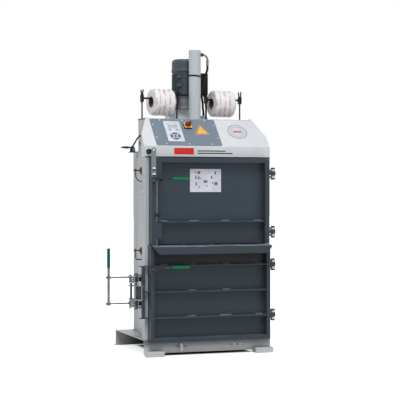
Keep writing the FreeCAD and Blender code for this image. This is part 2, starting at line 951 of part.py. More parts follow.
def bell_housing():
    """Cast bell between tank lid and motor, with a window through its sides."""
    height = bell_top - tank_top
    foot = motor_diameter / 2 - 6
    waist = foot - bell_taper
    profile = Part.Wire(
        [
            Part.makeLine(V(0, 0, 0), V(foot, 0, 0)),
            Part.makeLine(V(foot, 0, 0), V(foot, 0, bell_flange)),
            Part.makeLine(V(foot, 0, bell_flange), V(waist, 0, bell_flange + bell_taper)),
            Part.makeLine(V(waist, 0, bell_flange + bell_taper), V(waist, 0, height - bell_flange)),
            Part.makeLine(V(waist, 0, height - bell_flange), V(foot, 0, height - bell_flange / 2)),
            Part.makeLine(V(foot, 0, height - bell_flange / 2), V(foot, 0, height)),
            Part.makeLine(V(foot, 0, height), V(0, 0, height)),
            Part.makeLine(V(0, 0, height), V(0, 0, 0)),
        ]
    )
    bell = Part.Face(profile).revolve(V(0, 0, 0), V(0, 0, 1), 360)
    low = bell_flange + bell_taper + 4
    high = height - bell_flange - 6
    window = Part.makeBox(4 * foot, bell_window, high - low, V(-2 * foot, -bell_window / 2, low))
    bell = bell.cut(window.cut(Part.makeCylinder(20, height)))
    bell.translate(V(motor_x, y_at(motor_depth), tank_top))
    return bell


def motor_stator():
    """Finned motor body: cooling fins round the stator tube, over a bowl-shaped end shield."""
    y = y_at(motor_depth)
    outer = motor_diameter / 2
    root = outer - motor_fin
    rim = outer - 3
    low = bell_top
    body = Part.makeCylinder(root, stator_top - low - end_shield, V(motor_x, y, low + end_shield))
    upper = Part.makeCylinder(rim, upper_shield, V(motor_x, y, stator_top - upper_shield))
    bowl_edge = rim - 22
    bowl = Part.Wire(
        [
            Part.makeLine(V(0, 0, 0), V(bowl_edge, 0, 0)),
            Part.Arc(V(bowl_edge, 0, 0), V(rim - 4, 0, end_shield * 0.42), V(rim, 0, end_shield)).toShape(),
            Part.makeLine(V(rim, 0, end_shield), V(0, 0, end_shield)),
            Part.makeLine(V(0, 0, end_shield), V(0, 0, 0)),
        ]
    )
    lower = Part.Face(bowl).revolve(V(0, 0, 0), V(0, 0, 1), 360)
    lower.translate(V(motor_x, y, low))
    fins = []
    fin_height = stator_top - low - end_shield - upper_shield
    for i in range(fin_count):
        angle = 360.0 * i / fin_count
        fin = Part.makeBox(motor_fin + 4, 4, fin_height, V(root - 4, -2, low + end_shield))
        fin.rotate(V(0, 0, 0), V(0, 0, 1), angle)
        fin.translate(V(motor_x, y, 0))
        fins.append(fin)
    lugs = []
    for z in lug_zs:
        lug = Part.makeBox(lug_reach, lug_width, lug_tall, V(root - 4, -lug_width / 2, z - lug_tall / 2))
        lug.rotate(V(0, 0, 0), V(0, 0, 1), lug_angle)
        lug.translate(V(motor_x, y, 0))
        lugs.append(lug)
    return fuse([body, lower, upper] + fins + lugs)


def fan_cowl():
    """Pressed fan cowl over the top of the motor: skirt, step and chamfered crown."""
    y = y_at(motor_depth)
    outer = motor_diameter / 2
    height = cowl_top - stator_top
    skin = 2.0
    profile = [
        V(0, 0, 0),
        V(outer + 3, 0, 0),
        V(outer + 3, 0, 14),
        V(outer, 0, 18),
        V(outer, 0, height - 16),
        V(outer - 10, 0, height),
        V(0, 0, height),
        V(0, 0, 0),
    ]
    cowl = Part.Face(Part.makePolygon(profile)).revolve(V(0, 0, 0), V(0, 0, 1), 360)
    hollow = Part.makeCylinder(outer - skin, height - 12 - skin, V(0, 0, -1))
    cowl = cowl.cut(hollow)
    inlets = []
    for ring_radius, count in ((28.0, 10), (50.0, 16)):
        for i in range(count):
            angle = math.radians(360.0 * i / count)
            inlets.append(
                Part.makeCylinder(
                    4, 30, V(ring_radius * math.cos(angle), ring_radius * math.sin(angle), height - 20)
                )
            )
    cowl = cowl.cut(Part.makeCompound(inlets))
    cowl.translate(V(motor_x, y, stator_top))
    return cowl


def terminal_box():
    """Cable box on the right of the motor, on a short neck, with its cable gland below."""
    x0 = terminal_right - terminal_width
    x1 = terminal_right
    d0 = motor_depth - terminal_depth / 2
    d1 = motor_depth + terminal_depth / 2
    low = terminal_bottom
    high = low + terminal_height
    body = box(x0, x1, d0, d1, low, high)
    edges = [e for e in body.Edges if e.BoundBox.XMin > x1 - 0.01]
    body = body.makeFillet(6, edges)
    neck_start = motor_x + motor_diameter / 2 - motor_fin + 1
    fins_clear = box(neck_start + motor_fin - 1, x0, d0 + 20, d1 - 20, low + 18, high - 18)
    gland = rod_z(cable_route[0][0], cable_route[0][1], cable_route[0][2], low, 21)
    return fuse([body, fins_clear, gland])


hose_route = [
    (90.0, upright_centre_depth, 1902.0),
    (90.0, upright_centre_depth, 1874.0),
    (76.0, upright_centre_depth + 8, 1834.0),
    (63.0, upright_centre_depth + 34, 1780.0),
    (61.0, upright_centre_depth + 46, 1712.0),
    (86.0, hose_end_depth - 58, 1656.0),
    (hose_end_x - 12, hose_end_depth - 20, 1630.0),
    (hose_end_x, hose_end_depth, 1598.0),
    (hose_end_x, hose_end_depth, valve_top + 12),
]
cable_route = [
    (cable_x, cable_depth, terminal_bottom - 11),
    (cable_x, cable_depth, terminal_bottom - 24),
    (cable_x + 1, cable_depth - 18, 1656.0),
    (cable_x + 1, cable_depth - 28, 1618.0),
    (cable_x + 1, tank_front - 27, 1580.0),
    (cable_x, tank_front - 24, 1530.0),
    (cable_x - 3, tank_front - 23, 1470.0),
    (cable_x - 3, tank_front - 22, 1400.0),
    (cable_x - 3, tank_front - 22, deck_top + 14),
]


def hose_fittings():
    """Elbow and ferrule at the cylinder head, the lower port's union, and the deck's cable gland."""
    depth = upright_centre_depth
    radius = barrel_diameter / 2
    boss = rod_x(radius - 1, radius + 18, depth, port_z, 24)
    bend_centre = V(radius + 16, y_at(depth), port_z - 24)
    circle = Part.Wire(Part.makeCircle(6.5, V(radius + 16, y_at(depth), port_z), V(1, 0, 0)))
    start = V(radius + 16, y_at(depth), port_z)
    across = hose_route[0][0] - radius - 16
    corner = V(hose_route[0][0], y_at(depth), port_z - across)
    middle = V(
        radius + 16 + across * math.sin(math.radians(45)),
        y_at(depth),
        port_z - across * (1 - math.cos(math.radians(45))),
    )
    arc = Part.Arc(start, middle, corner).toShape()
    elbow = Part.Wire([arc]).makePipeShell([circle], True, False)
    ferrule = rod_z(hose_route[0][0], hose_route[0][1], hose_route[0][2], port_z - across, 18)
    barrel_space = Part.makeCylinder(
        radius, barrel_top - barrel_bottom, V(0, y_at(depth), barrel_bottom)
    )
    lower_port = rod_x(radius - 1, radius + 12, depth, lower_port_z, 20)
    lower_nut = rod_x(radius + 12, radius + 20, depth, lower_port_z, 15)
    deck_gland = rod_z(cable_route[-1][0], cable_route[-1][1], deck_top, cable_route[-1][2], 21)
    upper = fuse([boss, elbow, ferrule]).cut(barrel_space)
    lower = fuse([lower_port, lower_nut]).cut(barrel_space)
    return Part.makeCompound([upper, lower, deck_gland])


parts["oil_tank"] = oil_tank()
parts["bell_housing"] = bell_housing()
parts["motor_stator"] = motor_stator()
parts["fan_cowl"] = fan_cowl()
parts["terminal_box"] = terminal_box()
parts["hose_fittings"] = hose_fittings()
parts["pressure_hose"] = tube_route(hose_route, hose_diameter)
parts["motor_cable"] = tube_route(cable_route, cable_diameter)


# ---------------------------------------------------------------- strap rolls and stands
def spool_stand():
    """Left stand: a foot strip, two posts with forked saddles, and the rod that lies in them."""
    foot = 4.0
    foot_low = crosshead_top
    strip = box(
        -post_outer_x - 12, -post_inner_x + 12, spool_depth - 9, spool_depth + 9, foot_low, foot_low + foot
    )
    pieces = [strip]
    for x in (-post_outer_x, -post_inner_x):
        pieces.append(rod_z(x, spool_depth, foot_low + foot, saddle_low, post_diameter))
        saddle = box(
            x - saddle_width / 2, x + saddle_width / 2,
            spool_depth - saddle_depth / 2, spool_depth + saddle_depth / 2, saddle_low, saddle_high,
        )
        edges = [e for e in saddle.Edges if e.BoundBox.XLength < 0.01 and e.BoundBox.ZMax < saddle_low + 0.01]
        saddle = saddle.makeChamfer(7, edges)
        half = spool_rod_diameter / 2 + 0.5
        notch = box(
            x - saddle_width, x + saddle_width, spool_depth - half, spool_depth + half, spool_rod_z, saddle_high + 1
        )
        pieces.append(saddle.cut(notch))
        for side in (-1, 1):
            start = V(x, y_at(spool_depth + side * prong_spacing / 2), saddle_high - 6)
            tip = V(x, y_at(spool_depth + side * prong_spread / 2), prong_top)
            run = tip - start
            pieces.append(Part.makeCylinder(prong_diameter / 2, run.Length, start, run))
    pieces.append(
        rod_x(-post_outer_x - 9, -post_inner_x + 9, spool_depth, spool_rod_z, spool_rod_diameter)
    )
    return fuse(pieces)


core_inner = roll_inner - 2 * core_wall
core_reach = roll_width / 2 + 1
bore_room = core_inner / 2 - spool_rod_diameter / 2 - running_gap


def hang_roll(shape, side, yaw):
    """A form made round the X axis, hung askew on a stand's rod by the ends of its bore."""
    rod_offset = core_reach * math.sin(math.radians(yaw))
    drop = math.sqrt(bore_room ** 2 - rod_offset ** 2)
    hung = shape.copy()
    hung.rotate(V(0, 0, 0), V(0, 0, 1), yaw)
    hung.translate(V(side * roll_centre_x, y_at(spool_depth), spool_rod_z - drop))
    return hung


def roll_core():
    """The card tube, along the X axis."""
    core = Part.makeCylinder(roll_inner / 2, 2 * core_reach, V(-core_reach, 0, 0), V(1, 0, 0))
    return core.cut(
        Part.makeCylinder(core_inner / 2, 2 * core_reach + 2, V(-core_reach - 1, 0, 0), V(1, 0, 0))
    )


def strap_roll():
    """The wound strap as one body: its outer turns show as low rounded ridges."""
    x0 = -roll_width / 2
    inner = roll_inner / 2
    outer = roll_diameter / 2
    ridge = 1.2
    shoulder = 11.0
    lane = (roll_width - 2 * shoulder) / (roll_turns - 2)
    edges = [Part.LineSegment(V(x0, inner, 0), V(x0, outer - shoulder, 0)).toShape()]
    bulge = shoulder * (1 - math.sqrt(0.5))
    edges.append(
        Part.Arc(
            V(x0, outer - shoulder, 0),
            V(x0 + bulge, outer - bulge - ridge, 0),
            V(x0 + shoulder, outer - ridge, 0),
        ).toShape()
    )
    x = x0 + shoulder
    for turn in range(roll_turns - 2):
        edges.append(
            Part.Arc(
                V(x, outer - ridge, 0), V(x + lane / 2, outer, 0), V(x + lane, outer - ridge, 0)
            ).toShape()
        )
        x += lane
    x1 = x0 + roll_width
    edges.append(
        Part.Arc(
            V(x, outer - ridge, 0), V(x1 - bulge, outer - bulge - ridge, 0), V(x1, outer - shoulder, 0)
        ).toShape()
    )
    edges.append(Part.LineSegment(V(x1, outer - shoulder, 0), V(x1, inner, 0)).toShape())
    edges.append(Part.LineSegment(V(x1, inner, 0), V(x0, inner, 0)).toShape())
    return Part.Face(Part.Wire(edges)).revolve(V(0, 0, 0), V(1, 0, 0), 360)


parts["left_spool_stand"] = spool_stand()
parts["right_spool_stand"] = mirrored(parts["left_spool_stand"])
core = roll_core()
wound = strap_roll()
parts["left_roll_core"] = hang_roll(core, -1, roll_yaws[0])
parts["right_roll_core"] = hang_roll(core, 1, roll_yaws[1])
parts["left_strap_roll"] = hang_roll(wound, -1, roll_yaws[0])
parts["right_strap_roll"] = hang_roll(wound, 1, roll_yaws[1])


# ---------------------------------------------------------------- doors
def channel_ring(x0, x1, z0, z1, left, right, low, high):
    """A door frame: a ring of channel, closed in front and open to the back."""
    sheet = door_sheet
    ring = box(x0, x1, door_front, door_back, z0, z1)
    ring = ring.cut(box(x0 + left, x1 - right, door_front - 1, door_back + 1, z0 + low, z1 - high))
    hollow = box(x0 + sheet, x1 - sheet, door_front + sheet, door_back + 1, z0 + sheet, z1 - sheet)
    hollow = hollow.cut(
        box(
            x0 + left - sheet, x1 - right + sheet, door_front, door_back + 2,
            z0 + low - sheet, z1 - high + sheet,
        )
    )
    return ring.cut(hollow)


def hinge_lug(edge, z):
    """The eye on a door's right edge, bored for the hinge bolt."""
    corners = [
        (edge, hinge_depth - lug_radius, 0),
        (hinge_x, hinge_depth - lug_radius, 0),
        (hinge_x, hinge_depth + lug_radius, 0),
        (edge, hinge_depth + lug_radius, 0),
    ]
    low = z - lug_height / 2
    high = z + lug_height / 2
    eye = fuse([upright_prism(corners, low, high), rod_z(hinge_x, hinge_depth, low, high, 2 * lug_radius)])
    return eye.cut(rod_z(hinge_x, hinge_depth, low - 1, high + 1, hinge_pin + 2 * running_gap))


def cross_rib(x0, x1, z):
    return box(x0, x1, panel_face - rib_reach, panel_face, z - rib_thickness / 2, z + rib_thickness / 2)


upper_rib_z = 861.0
upper_hinge_zs = (794.0, 1176.0)
lower_hinge_zs = (250.0, 580.0)
lower_rib_zs = (248.0, 414.0, 581.0)
bracket_plate = 6.0


def lever_post(x, z):
    """The stub on a stile that a lever turns on."""
    axis = door_front - lever_standoff
    below = z - lever_plate / 2 - running_gap
    above = z + lever_plate / 2 + running_gap
    block = box(x - 15, x + 15, axis - 12, door_front, z - 18, below)
    pin = rod_z(x, axis, z - 10, above + 4, lever_pivot)
    head = rod_z(x, axis, above, above + 4, lever_pivot + 8)
    return fuse([block, pin, head])


upper_lever_x = -half_upper + upper_left_stile / 2
lower_lever_x = -half_lower + lower_stile - 4
stile_plate = 33.0           # plates that widen the left stile
lower_plate_z = 808.0        # middle of the lower one
lower_plate_height = 101.0
guide_height = 16.0
guide_above_lever = 52.0


def upper_door_frame():
    """Channel frame with its rib, wide stile plates, hinge eyes, lever post and rod guides.

    Its bottom rail lies behind the recessed sheet, so the sheet runs down to the loading lip.
    """
    z0 = upper_door_bottom
    z1 = upper_door_top
    ring = channel_ring(
        -half_upper, half_upper, z0, z1, upper_left_stile, upper_right_stile, upper_bottom_rail, upper_top_rail
    )
    inner_left = -half_upper + upper_left_stile
    inner_right = half_upper - upper_right_stile
    rail_front = panel_face + door_sheet
    rail_top = z0 + upper_bottom_rail
    ring = ring.cut(box(inner_left, inner_right, door_front - 1, rail_front, z0 - 1, rail_top + 1))
    plate_right = inner_left + stile_plate
    pieces = [ring, cross_rib(plate_right, inner_right, upper_rib_z)]
    pieces.append(box(inner_left - door_sheet, inner_left, door_front, door_back, z0, rail_top))
    pieces.append(box(inner_right, inner_right + door_sheet, door_front, door_back, z0, rail_top))
    pieces.append(
        box(inner_left, plate_right, panel_face - rib_reach / 3, panel_face,
            upper_rib_z - rib_thickness / 2, upper_rib_z + rib_thickness / 2)
    )
    pieces.append(
        box(inner_left, plate_right, door_front, door_front + door_sheet, upper_lever_z + 5, z1 - upper_top_rail)
    )
    half = lower_plate_height / 2
    pieces.append(
        box(inner_left, plate_right, door_front, door_front + door_sheet, lower_plate_z - half, lower_plate_z + half)
    )
    for z in (lower_plate_z, upper_lever_z + guide_above_lever):
        half = guide_height / 2
        guide = box(
            inner_left, coupling_rod_x + 9, coupling_rod_depth - 9, coupling_rod_depth + 9, z - half, z + half
        )
        hole = rod_z(
            coupling_rod_x, coupling_rod_depth, z - half - 1, z + half + 1, coupling_rod_diameter + 2 * running_gap
        )
        pieces.append(guide.cut(hole))
    for z in upper_hinge_zs:
        pieces.append(hinge_lug(half_upper, z))
    pieces.append(lever_post(upper_lever_x, upper_lever_z))
    return fuse(pieces)


def door_sheet_panel(x0, x1, z0, z1):
    return box(x0, x1, panel_face, panel_face + door_sheet, z0, z1)


def lower_door_frame():
    """Channel frame with three ribs, hinge eyes, the latch keeper and a lever post."""
    z0 = lower_door_bottom
    z1 = lower_door_top
    ring = channel_ring(
        -half_lower, half_lower, z0, z1, lower_stile, lower_stile, lower_bottom_rail, lower_stile
    )
    corner = 34.0
    nose = side_prism(
        [
            (door_front - 1, z0 - 1, 0),
            (door_front + corner / 2, z0 - 1, 0),
            (door_front - 1, z0 + corner, 0),
        ],
        -half_lower - 1,
        -half_lower + door_sheet / 2,
    )
    ring = ring.cut(nose)
    socket = rod_z(
        coupling_rod_x, coupling_rod_depth, z1 - lower_stile - 5, z1 + 1, coupling_hole
    )
    ring = ring.cut(socket)
    pieces = [ring]
    inner = half_lower - lower_stile
    for z in lower_rib_zs:
        pieces.append(cross_rib(-inner, inner, z))
    half = keeper_size / 2
    pieces.append(
        box(keeper_x - half, keeper_x + half, keeper_depth - half, keeper_depth + half, keeper_bottom, keeper_top)
    )
    short_end = keeper_x - half - 4
    long_end = keeper_x - half - 15
    for z, end in ((lower_rib_zs[0], long_end), (lower_rib_zs[1], short_end), (keeper_top + 3, long_end)):
        outline = [
            (end, keeper_depth - half + 4, 4),
            (-half_lower, keeper_depth - half - 8, 0),
            (-half_lower, keeper_depth + half + 4, 0),
            (end, keeper_depth + half, 4),
        ]
        pieces.append(upright_prism(outline, z - bracket_plate / 2, z + bracket_plate / 2))
    for z in lower_hinge_zs:
        pieces.append(hinge_lug(half_lower, z))
    pieces.append(lever_post(lower_lever_x, lower_lever_z))
    return fuse(pieces)


def lip_body(inset):
    """The loading lip's outer form, or the space under it when inset by the sheet."""
    top = lower_door_top - inset
    front = door_front - lip_reach + inset
    bottom = lower_door_top - lip_fall - lip_face - (1 if inset else 0)
    back = door_front + (1 if inset else 0)
    side = side_prism(
        [
            (back, bottom, 0),
            (front, bottom, 0),
            (front, lower_door_top - lip_fall - inset, 0),
            (back, top, 0),
        ],
        -lip_half_width,
        lip_half_width,
    )
    height = lip_face + lip_fall
    slant = math.hypot(lip_mitre, height) / height
    wide = lip_half_width - inset * slant
    narrow = wide - lip_mitre * (lower_door_top - bottom) / height
    wedge = front_prism(
        [
            (-wide, lower_door_top, 0),
            (wide, lower_door_top, 0),
            (narrow, bottom, 0),
            (-narrow, bottom, 0),
        ],
        front - 1,
        back,
    )
    return side.common(wedge)


def loading_lip():
    """The folded lip along the lower door's top: sloping ledge, face and mitred ends."""
    return lip_body(0).cut(lip_body(door_sheet))


def lever(pivot_x, z):
    """A flat tapered lever plate that carries on as a round bar into its grip."""
    axis = door_front - lever_standoff
    plate_end = pivot_x + 62
    corners = [
        (pivot_x - 17, axis - 15, 12),
        (pivot_x + 12, axis - 17, 10),
        (plate_end, axis - 6, 2),
        (plate_end, axis + 6, 2),
        (pivot_x + 12, axis + 17, 10),
        (pivot_x - 17, axis + 15, 12),
    ]
    plate = upright_prism(corners, z - lever_plate / 2, z + lever_plate / 2)
    plate = plate.cut(rod_z(pivot_x, axis, z - lever_plate, z + lever_plate, lever_pivot + 2 * running_gap))
    bar = rod_x(plate_end - 14, pivot_x + lever_length - 3, axis, z, lever_bar)
    return fuse([plate, bar])


def lever_grip(pivot_x, z):
    """The soft sleeve pushed over the lever's bar."""
    axis = door_front - lever_standoff
    end = pivot_x + lever_length
    sleeve = rod_x(end - grip_length, end, axis, z, grip_diameter)
    rims = [e for e in sleeve.Edges if e.BoundBox.XLength < 0.01]
    sleeve = sleeve.makeFillet(4, rims)
    return sleeve.cut(rod_x(end - grip_length - 1, end - 3, axis, z, lever_bar))


def coupling_rod():
    """The drop rod between the doors, with its ball knob."""
    low = lower_door_top + 5
    rod = rod_z(coupling_rod_x, coupling_rod_depth, low, coupling_rod_top, coupling_rod_diameter)
    ball_depth = door_front - ball_knob_standoff
    ball = Part.makeSphere(ball_knob_diameter / 2, V(coupling_rod_x, y_at(ball_depth), ball_knob_z))
    stem = rod_y(coupling_rod_x, ball_depth, coupling_rod_depth, ball_knob_z, 9)
    return fuse([rod, ball, stem])


def interlock_bar():
    """The plated tongue bolted to the upper door that reaches up to the hood's switch."""
    x0 = -half_upper - tongue_overhang
    x1 = x0 + tongue_width
    d0 = door_front - tongue_plate
    low = upper_lever_z + tongue_plate
    high = upper_door_top + tongue_rise
    bar = front_prism(rounded_rectangle(x0, x1, low, high, 12), d0, door_front)
    middle = (x0 + x1) / 2
    hole = rod_y(middle, d0 - 1, door_front + 1, high - 14, 9)
    bar = bar.cut(hole)
    pieces = [bar]
    for z in (low + tongue_bolt, low + tongue_bolt + tongue_bolt_pitch):
        pieces.append(rod_y(middle, d0 - 2, d0, z, 20))
        pieces.append(rod_y(middle, d0 - 8, d0 - 2, z, 13))
    return fuse(pieces)


def interlock_switch():
    """The door switch on the hood band, with its round head beside the tongue."""
    body_x = -half_body + 27
    z = hood_bottom + 31
    base = rod_y(body_x, -8, 0, z, 34)
    head = rod_y(body_x, -44, -8, z, 28)
    cap = rod_y(body_x, -50, -44, z, 20)
    return fuse([base, head, cap])


upper_panel_left = -half_upper + upper_left_stile
upper_panel_right = half_upper - upper_right_stile
lower_inner = half_lower - lower_stile
parts["upper_door_frame"] = upper_door_frame()
parts["upper_door_panel"] = door_sheet_panel(
    upper_panel_left, upper_panel_right, upper_door_bottom, upper_door_top - upper_top_rail
)
parts["interlock_bar"] = interlock_bar()
parts["interlock_switch"] = interlock_switch()
parts["upper_lever"] = lever(upper_lever_x, upper_lever_z)
parts["upper_lever_grip"] = lever_grip(upper_lever_x, upper_lever_z)
parts["coupling_rod"] = coupling_rod()
parts["lower_door_frame"] = lower_door_frame()
parts["lower_door_panel"] = door_sheet_panel(
    -lower_inner, lower_inner, lower_door_bottom + lower_bottom_rail, lower_door_top - lower_stile
)
parts["loading_lip"] = loading_lip()
parts["lower_lever"] = lever(lower_lever_x, lower_lever_z)
parts["lower_lever_grip"] = lever_grip(lower_lever_x, lower_lever_z)


# ---------------------------------------------------------------- hinges
def hinge_hardware():
    """Per hinge: two plated eyes on the right column, a thrust washer, and the bolt with its nuts."""
    pieces = []
    radius = 15.0
    for z in upper_hinge_zs + lower_hinge_zs:
        lug_low = z - lug_height / 2 - running_gap - thrust_washer
        lug_high = z + lug_height / 2 + running_gap
        for low in (lug_low - eye_height, lug_high):
            arm = upright_prism(
                [
                    (half_body, hinge_depth, 0),
                    (hinge_x + radius, hinge_depth, 0),
                    (hinge_x + radius, 26, 8),
                    (half_body, 34, 0),
                ],
                low,
                low + eye_height,
            )
            eye = fuse([arm, rod_z(hinge_x, hinge_depth, low, low + eye_height, 2 * radius)])
            eye = eye.cut(rod_z(hinge_x, hinge_depth, low - 1, low + eye_height + 1, hinge_pin))
            pieces.append(eye)
        washer = rod_z(hinge_x, hinge_depth, lug_low, lug_low + thrust_washer, 2 * radius - 2)
        pieces.append(washer.cut(rod_z(hinge_x, hinge_depth, lug_low - 1, lug_high, hinge_pin)))
        bottom = lug_low - eye_height
        top = lug_high + eye_height
        shank = rod_z(hinge_x, hinge_depth, bottom - hinge_nut - 1, top + hinge_nut + 1, hinge_pin)
        nut_low = hexagon(24, hinge_x, hinge_depth, bottom - hinge_nut, bottom)
        nut_high = hexagon(24, hinge_x, hinge_depth, top, top + hinge_nut)
        pieces.append(fuse([shank, nut_low, nut_high]))
    return Part.makeCompound(pieces)


parts["hinge_hardware"] = hinge_hardware()


# ---------------------------------------------------------------- toggle latch
hub_half = latch_hub_height / 2
ear = 6.0
ear_gap = running_gap
upper_hub_high = latch_upper_z + hub_half
lower_hub_low = latch_lower_z - hub_half
crank_x = latch_x - latch_crank
latch_bar_x = latch_x - latch_handle_reach


def latch_bracket():
    """Bracket bolted to the left column, with the latch's main pin through its two ears."""
    low = lower_hub_low - ear_gap - ear
    high = upper_hub_high + ear_gap + ear
    back = box(-half_body - ear, -half_body, latch_depth - 40, latch_depth + 14, low, high)
    pieces = [back]
    for z in (low, high - ear):
        pieces.append(
            upright_prism(
                [
                    (-half_body - 1, latch_depth - 24, 0),
                    (-half_body - 1, latch_depth + 14, 0),
                    (latch_x - 14, latch_depth + 14, 12),
                    (latch_x - 14, latch_depth - 14, 12),
                    (latch_x + 10, latch_depth - 24, 6),
                ],
                z,
                z + ear,
            )
        )
    pieces.append(rod_z(latch_x, latch_depth, low - 10, high + 10, latch_pin))
    pieces.append(hexagon(19, latch_x, latch_depth, low - 8, low))
    pieces.append(hexagon(19, latch_x, latch_depth, high, high + 8))
    for z in (low + 40, high - 40):
        pieces.append(rod_x(-half_body - ear - 7, -half_body - ear, latch_depth - 26, z, 15))
    return fuse(pieces)


def latch_handle():
    """Handle frame: two hubs on the main pin, the crank rod, two links and the grip bar."""
    pieces = []
    for z, link_z in ((latch_upper_z, latch_upper_link_z), (latch_lower_z, latch_lower_link_z)):
        low = z - hub_half
        high = z + hub_half
        outline = rounded_rectangle(
            crank_x - latch_hub_radius, latch_x + latch_hub_radius,
            latch_depth - latch_hub_radius, latch_depth + latch_hub_radius, latch_hub_radius - 0.1,
        )
        hub = upright_prism(outline, low, high)
        hub = hub.cut(rod_z(latch_x, latch_depth, low - 1, high + 1, latch_pin + 2 * running_gap))
        pieces.append(hub)
        link_end = latch_bar_x - latch_bar_width / 2 - 9
        pieces.append(rod_x(link_end, crank_x - latch_hub_radius + 4, latch_depth, link_z, latch_link))
        for side in (-1, 1):
            x = latch_bar_x + side * (latch_bar_width / 2 + 3)
            pieces.append(rod_x(x - 3, x + 3, latch_depth, link_z, 17))
    pieces.append(
        rod_z(crank_x, latch_depth, latch_lower_z + hub_half, latch_upper_z - hub_half, hook_pin)
    )
    bar = front_prism(
        rounded_rectangle(
            latch_bar_x - latch_bar_width / 2, latch_bar_x + latch_bar_width / 2,
            latch_lower_link_z - 13, latch_grip_top - 4, 6,
        ),
        latch_depth - latch_bar_thickness / 2,
        latch_depth + latch_bar_thickness / 2,
    )
    pieces.append(bar)
    return fuse(pieces)


def latch_grip():
    """The long soft sleeve on the upper end of the grip bar."""
    skin = 2.0
    half = latch_bar_width / 2 + skin
    deep = latch_bar_thickness / 2 + skin + 2
    grip_bottom = latch_grip_top - latch_grip_length
    sleeve = upright_prism(
        rounded_rectangle(latch_bar_x - half, latch_bar_x + half, latch_depth - deep, latch_depth + deep, 7),
        grip_bottom,
        latch_grip_top,
    )
    rims = [e for e in sleeve.Edges if e.BoundBox.ZLength < 0.01]
    sleeve = sleeve.makeFillet(3, rims)
    slot = front_prism(
        rounded_rectangle(
            latch_bar_x - latch_bar_width / 2, latch_bar_x + latch_bar_width / 2,
            grip_bottom - 20, latch_grip_top - 4, 6,
        ),
        latch_depth - latch_bar_thickness / 2,
        latch_depth + latch_bar_thickness / 2,
    )
    return sleeve.cut(slot)


def latch_hook():
    """Hook frame: a sleeve on the crank rod, two curved plates and the pin that grips the keeper."""
    low = latch_lower_z + hub_half + running_gap
    high = latch_upper_z - hub_half - running_gap
    angle = math.radians(hook_angle)
    end_x = crank_x + hook_length * math.cos(angle)
    end_d = latch_depth + hook_length * math.sin(angle)
    pieces = [rod_z(crank_x, latch_depth, low, high, hook_pin + 7)]
    for z in hook_plate_zs:
        outline = [
            (crank_x - 18, latch_depth + 12, 10),
            (crank_x + 13, latch_depth + 12, 10),
            (crank_x + 13, latch_depth - 20, 12),
            (end_x + 9, end_d + 14, 10),
            (end_x + 9, end_d - 9, 8),
            (end_x - 9, end_d - 9, 8),
            (end_x - 16, end_d + 20, 14),
            (crank_x - 18, latch_depth - 16, 14),
        ]
        pieces.append(upright_prism(outline, z - hook_plate / 2, z + hook_plate / 2))
    pieces.append(rod_z(end_x, end_d, hook_plate_zs[0] - 9, hook_plate_zs[1] + 9, hook_pin))
    bore = rod_z(crank_x, latch_depth, low - 1, high + 1, hook_pin + 2 * running_gap)
    return fuse(pieces).cut(bore)


parts["latch_bracket"] = latch_bracket()
parts["latch_handle"] = latch_handle()
parts["latch_grip"] = latch_grip()
parts["latch_hook"] = latch_hook()


# ---------------------------------------------------------------- wire bows on the left upright
def bow_bracket(z):
    """A small welded gusset with the pin that a wire bow hangs on."""
    outside = -upright_outside
    gusset = front_prism(
        [(outside, z - 42, 0), (outside, z + 22, 0), (outside - 12, z + 20, 7), (outside - 24, z - 2, 6)],
        bow_depth - 3,
        bow_depth + 3,
    )
    pin = rod_x(outside - bow_reach - 8, outside, bow_depth, z, bow_pin)
    head = rod_x(outside - bow_reach - 12, outside - bow_reach - 6, bow_depth, z, bow_pin + 6)
    return fuse([gusset, pin, head])


def wire_bow(z, drop, corner):
    """A wire bow that hangs from its pin by an eye and turns back to the upright."""
    outside = -upright_outside
    eye_x = outside - bow_reach
    eye_radius = bow_pin / 2 + running_gap + bow_wire / 2
    top = z - eye_radius
    low = z - drop
    end_x = outside - 1 - running_gap
    start = V(eye_x, y_at(bow_depth), top)
    down = V(eye_x, y_at(bow_depth), low + corner)
    turn = corner * (1 - math.sqrt(0.5))
    middle = V(eye_x + turn, y_at(bow_depth), low + turn)
    across = V(eye_x + corner, y_at(bow_depth), low)
    end = V(end_x, y_at(bow_depth), low)
    edges = [Part.LineSegment(start, down).toShape(), Part.Arc(down, middle, across).toShape()]
    if end_x - eye_x - corner > 0.1:
        edges.append(Part.LineSegment(across, end).toShape())
    section = Part.Wire(Part.makeCircle(bow_wire / 2, start, V(0, 0, -1)))
    wire = Part.Wire(edges).makePipeShell([section], True, False)
    ring = Part.makeTorus(eye_radius, bow_wire / 2, V(eye_x, y_at(bow_depth), z), V(1, 0, 0))
    return fuse([ring, wire])


parts["bow_brackets"] = Part.makeCompound([bow_bracket(upper_bow_z), bow_bracket(lower_bow_z)])
parts["upper_bow"] = wire_bow(upper_bow_z, 73.0, bow_reach - 6)
parts["lower_bow"] = wire_bow(lower_bow_z, 60.0, 12.0)


# ---------------------------------------------------------------- side lever
def ejector_bracket():
    """Plated angle on the left wall with two ears for the side lever."""
    wall = -wall_outside
    d0 = ejector_depth - 24
    d1 = ejector_depth + 24
    ledge_z = chamber_top - 6
    outline = folded_outline(
        [(wall - 3, ledge_z - 34), (wall - 3, ledge_z), (wall - 64, ledge_z)], -3.0, 2.0
    )
    angle = front_prism(outline, d0, d1)
    pieces = [angle]
    for depth in (ejector_depth - 11, ejector_depth + 8):
        pieces.append(
            front_prism(
                [
                    (ejector_x - 16, ledge_z + 2, 0),
                    (ejector_x - 10, ejector_z + 8, 8),
                    (ejector_x + 12, ejector_z + 8, 8),
                    (ejector_x + 20, ledge_z + 2, 0),
                ],
                depth,
                depth + 3,
            )
        )
    pieces.append(rod_y(ejector_x, ejector_depth - 14, ejector_depth + 14, ejector_z, 8))
    return fuse(pieces)


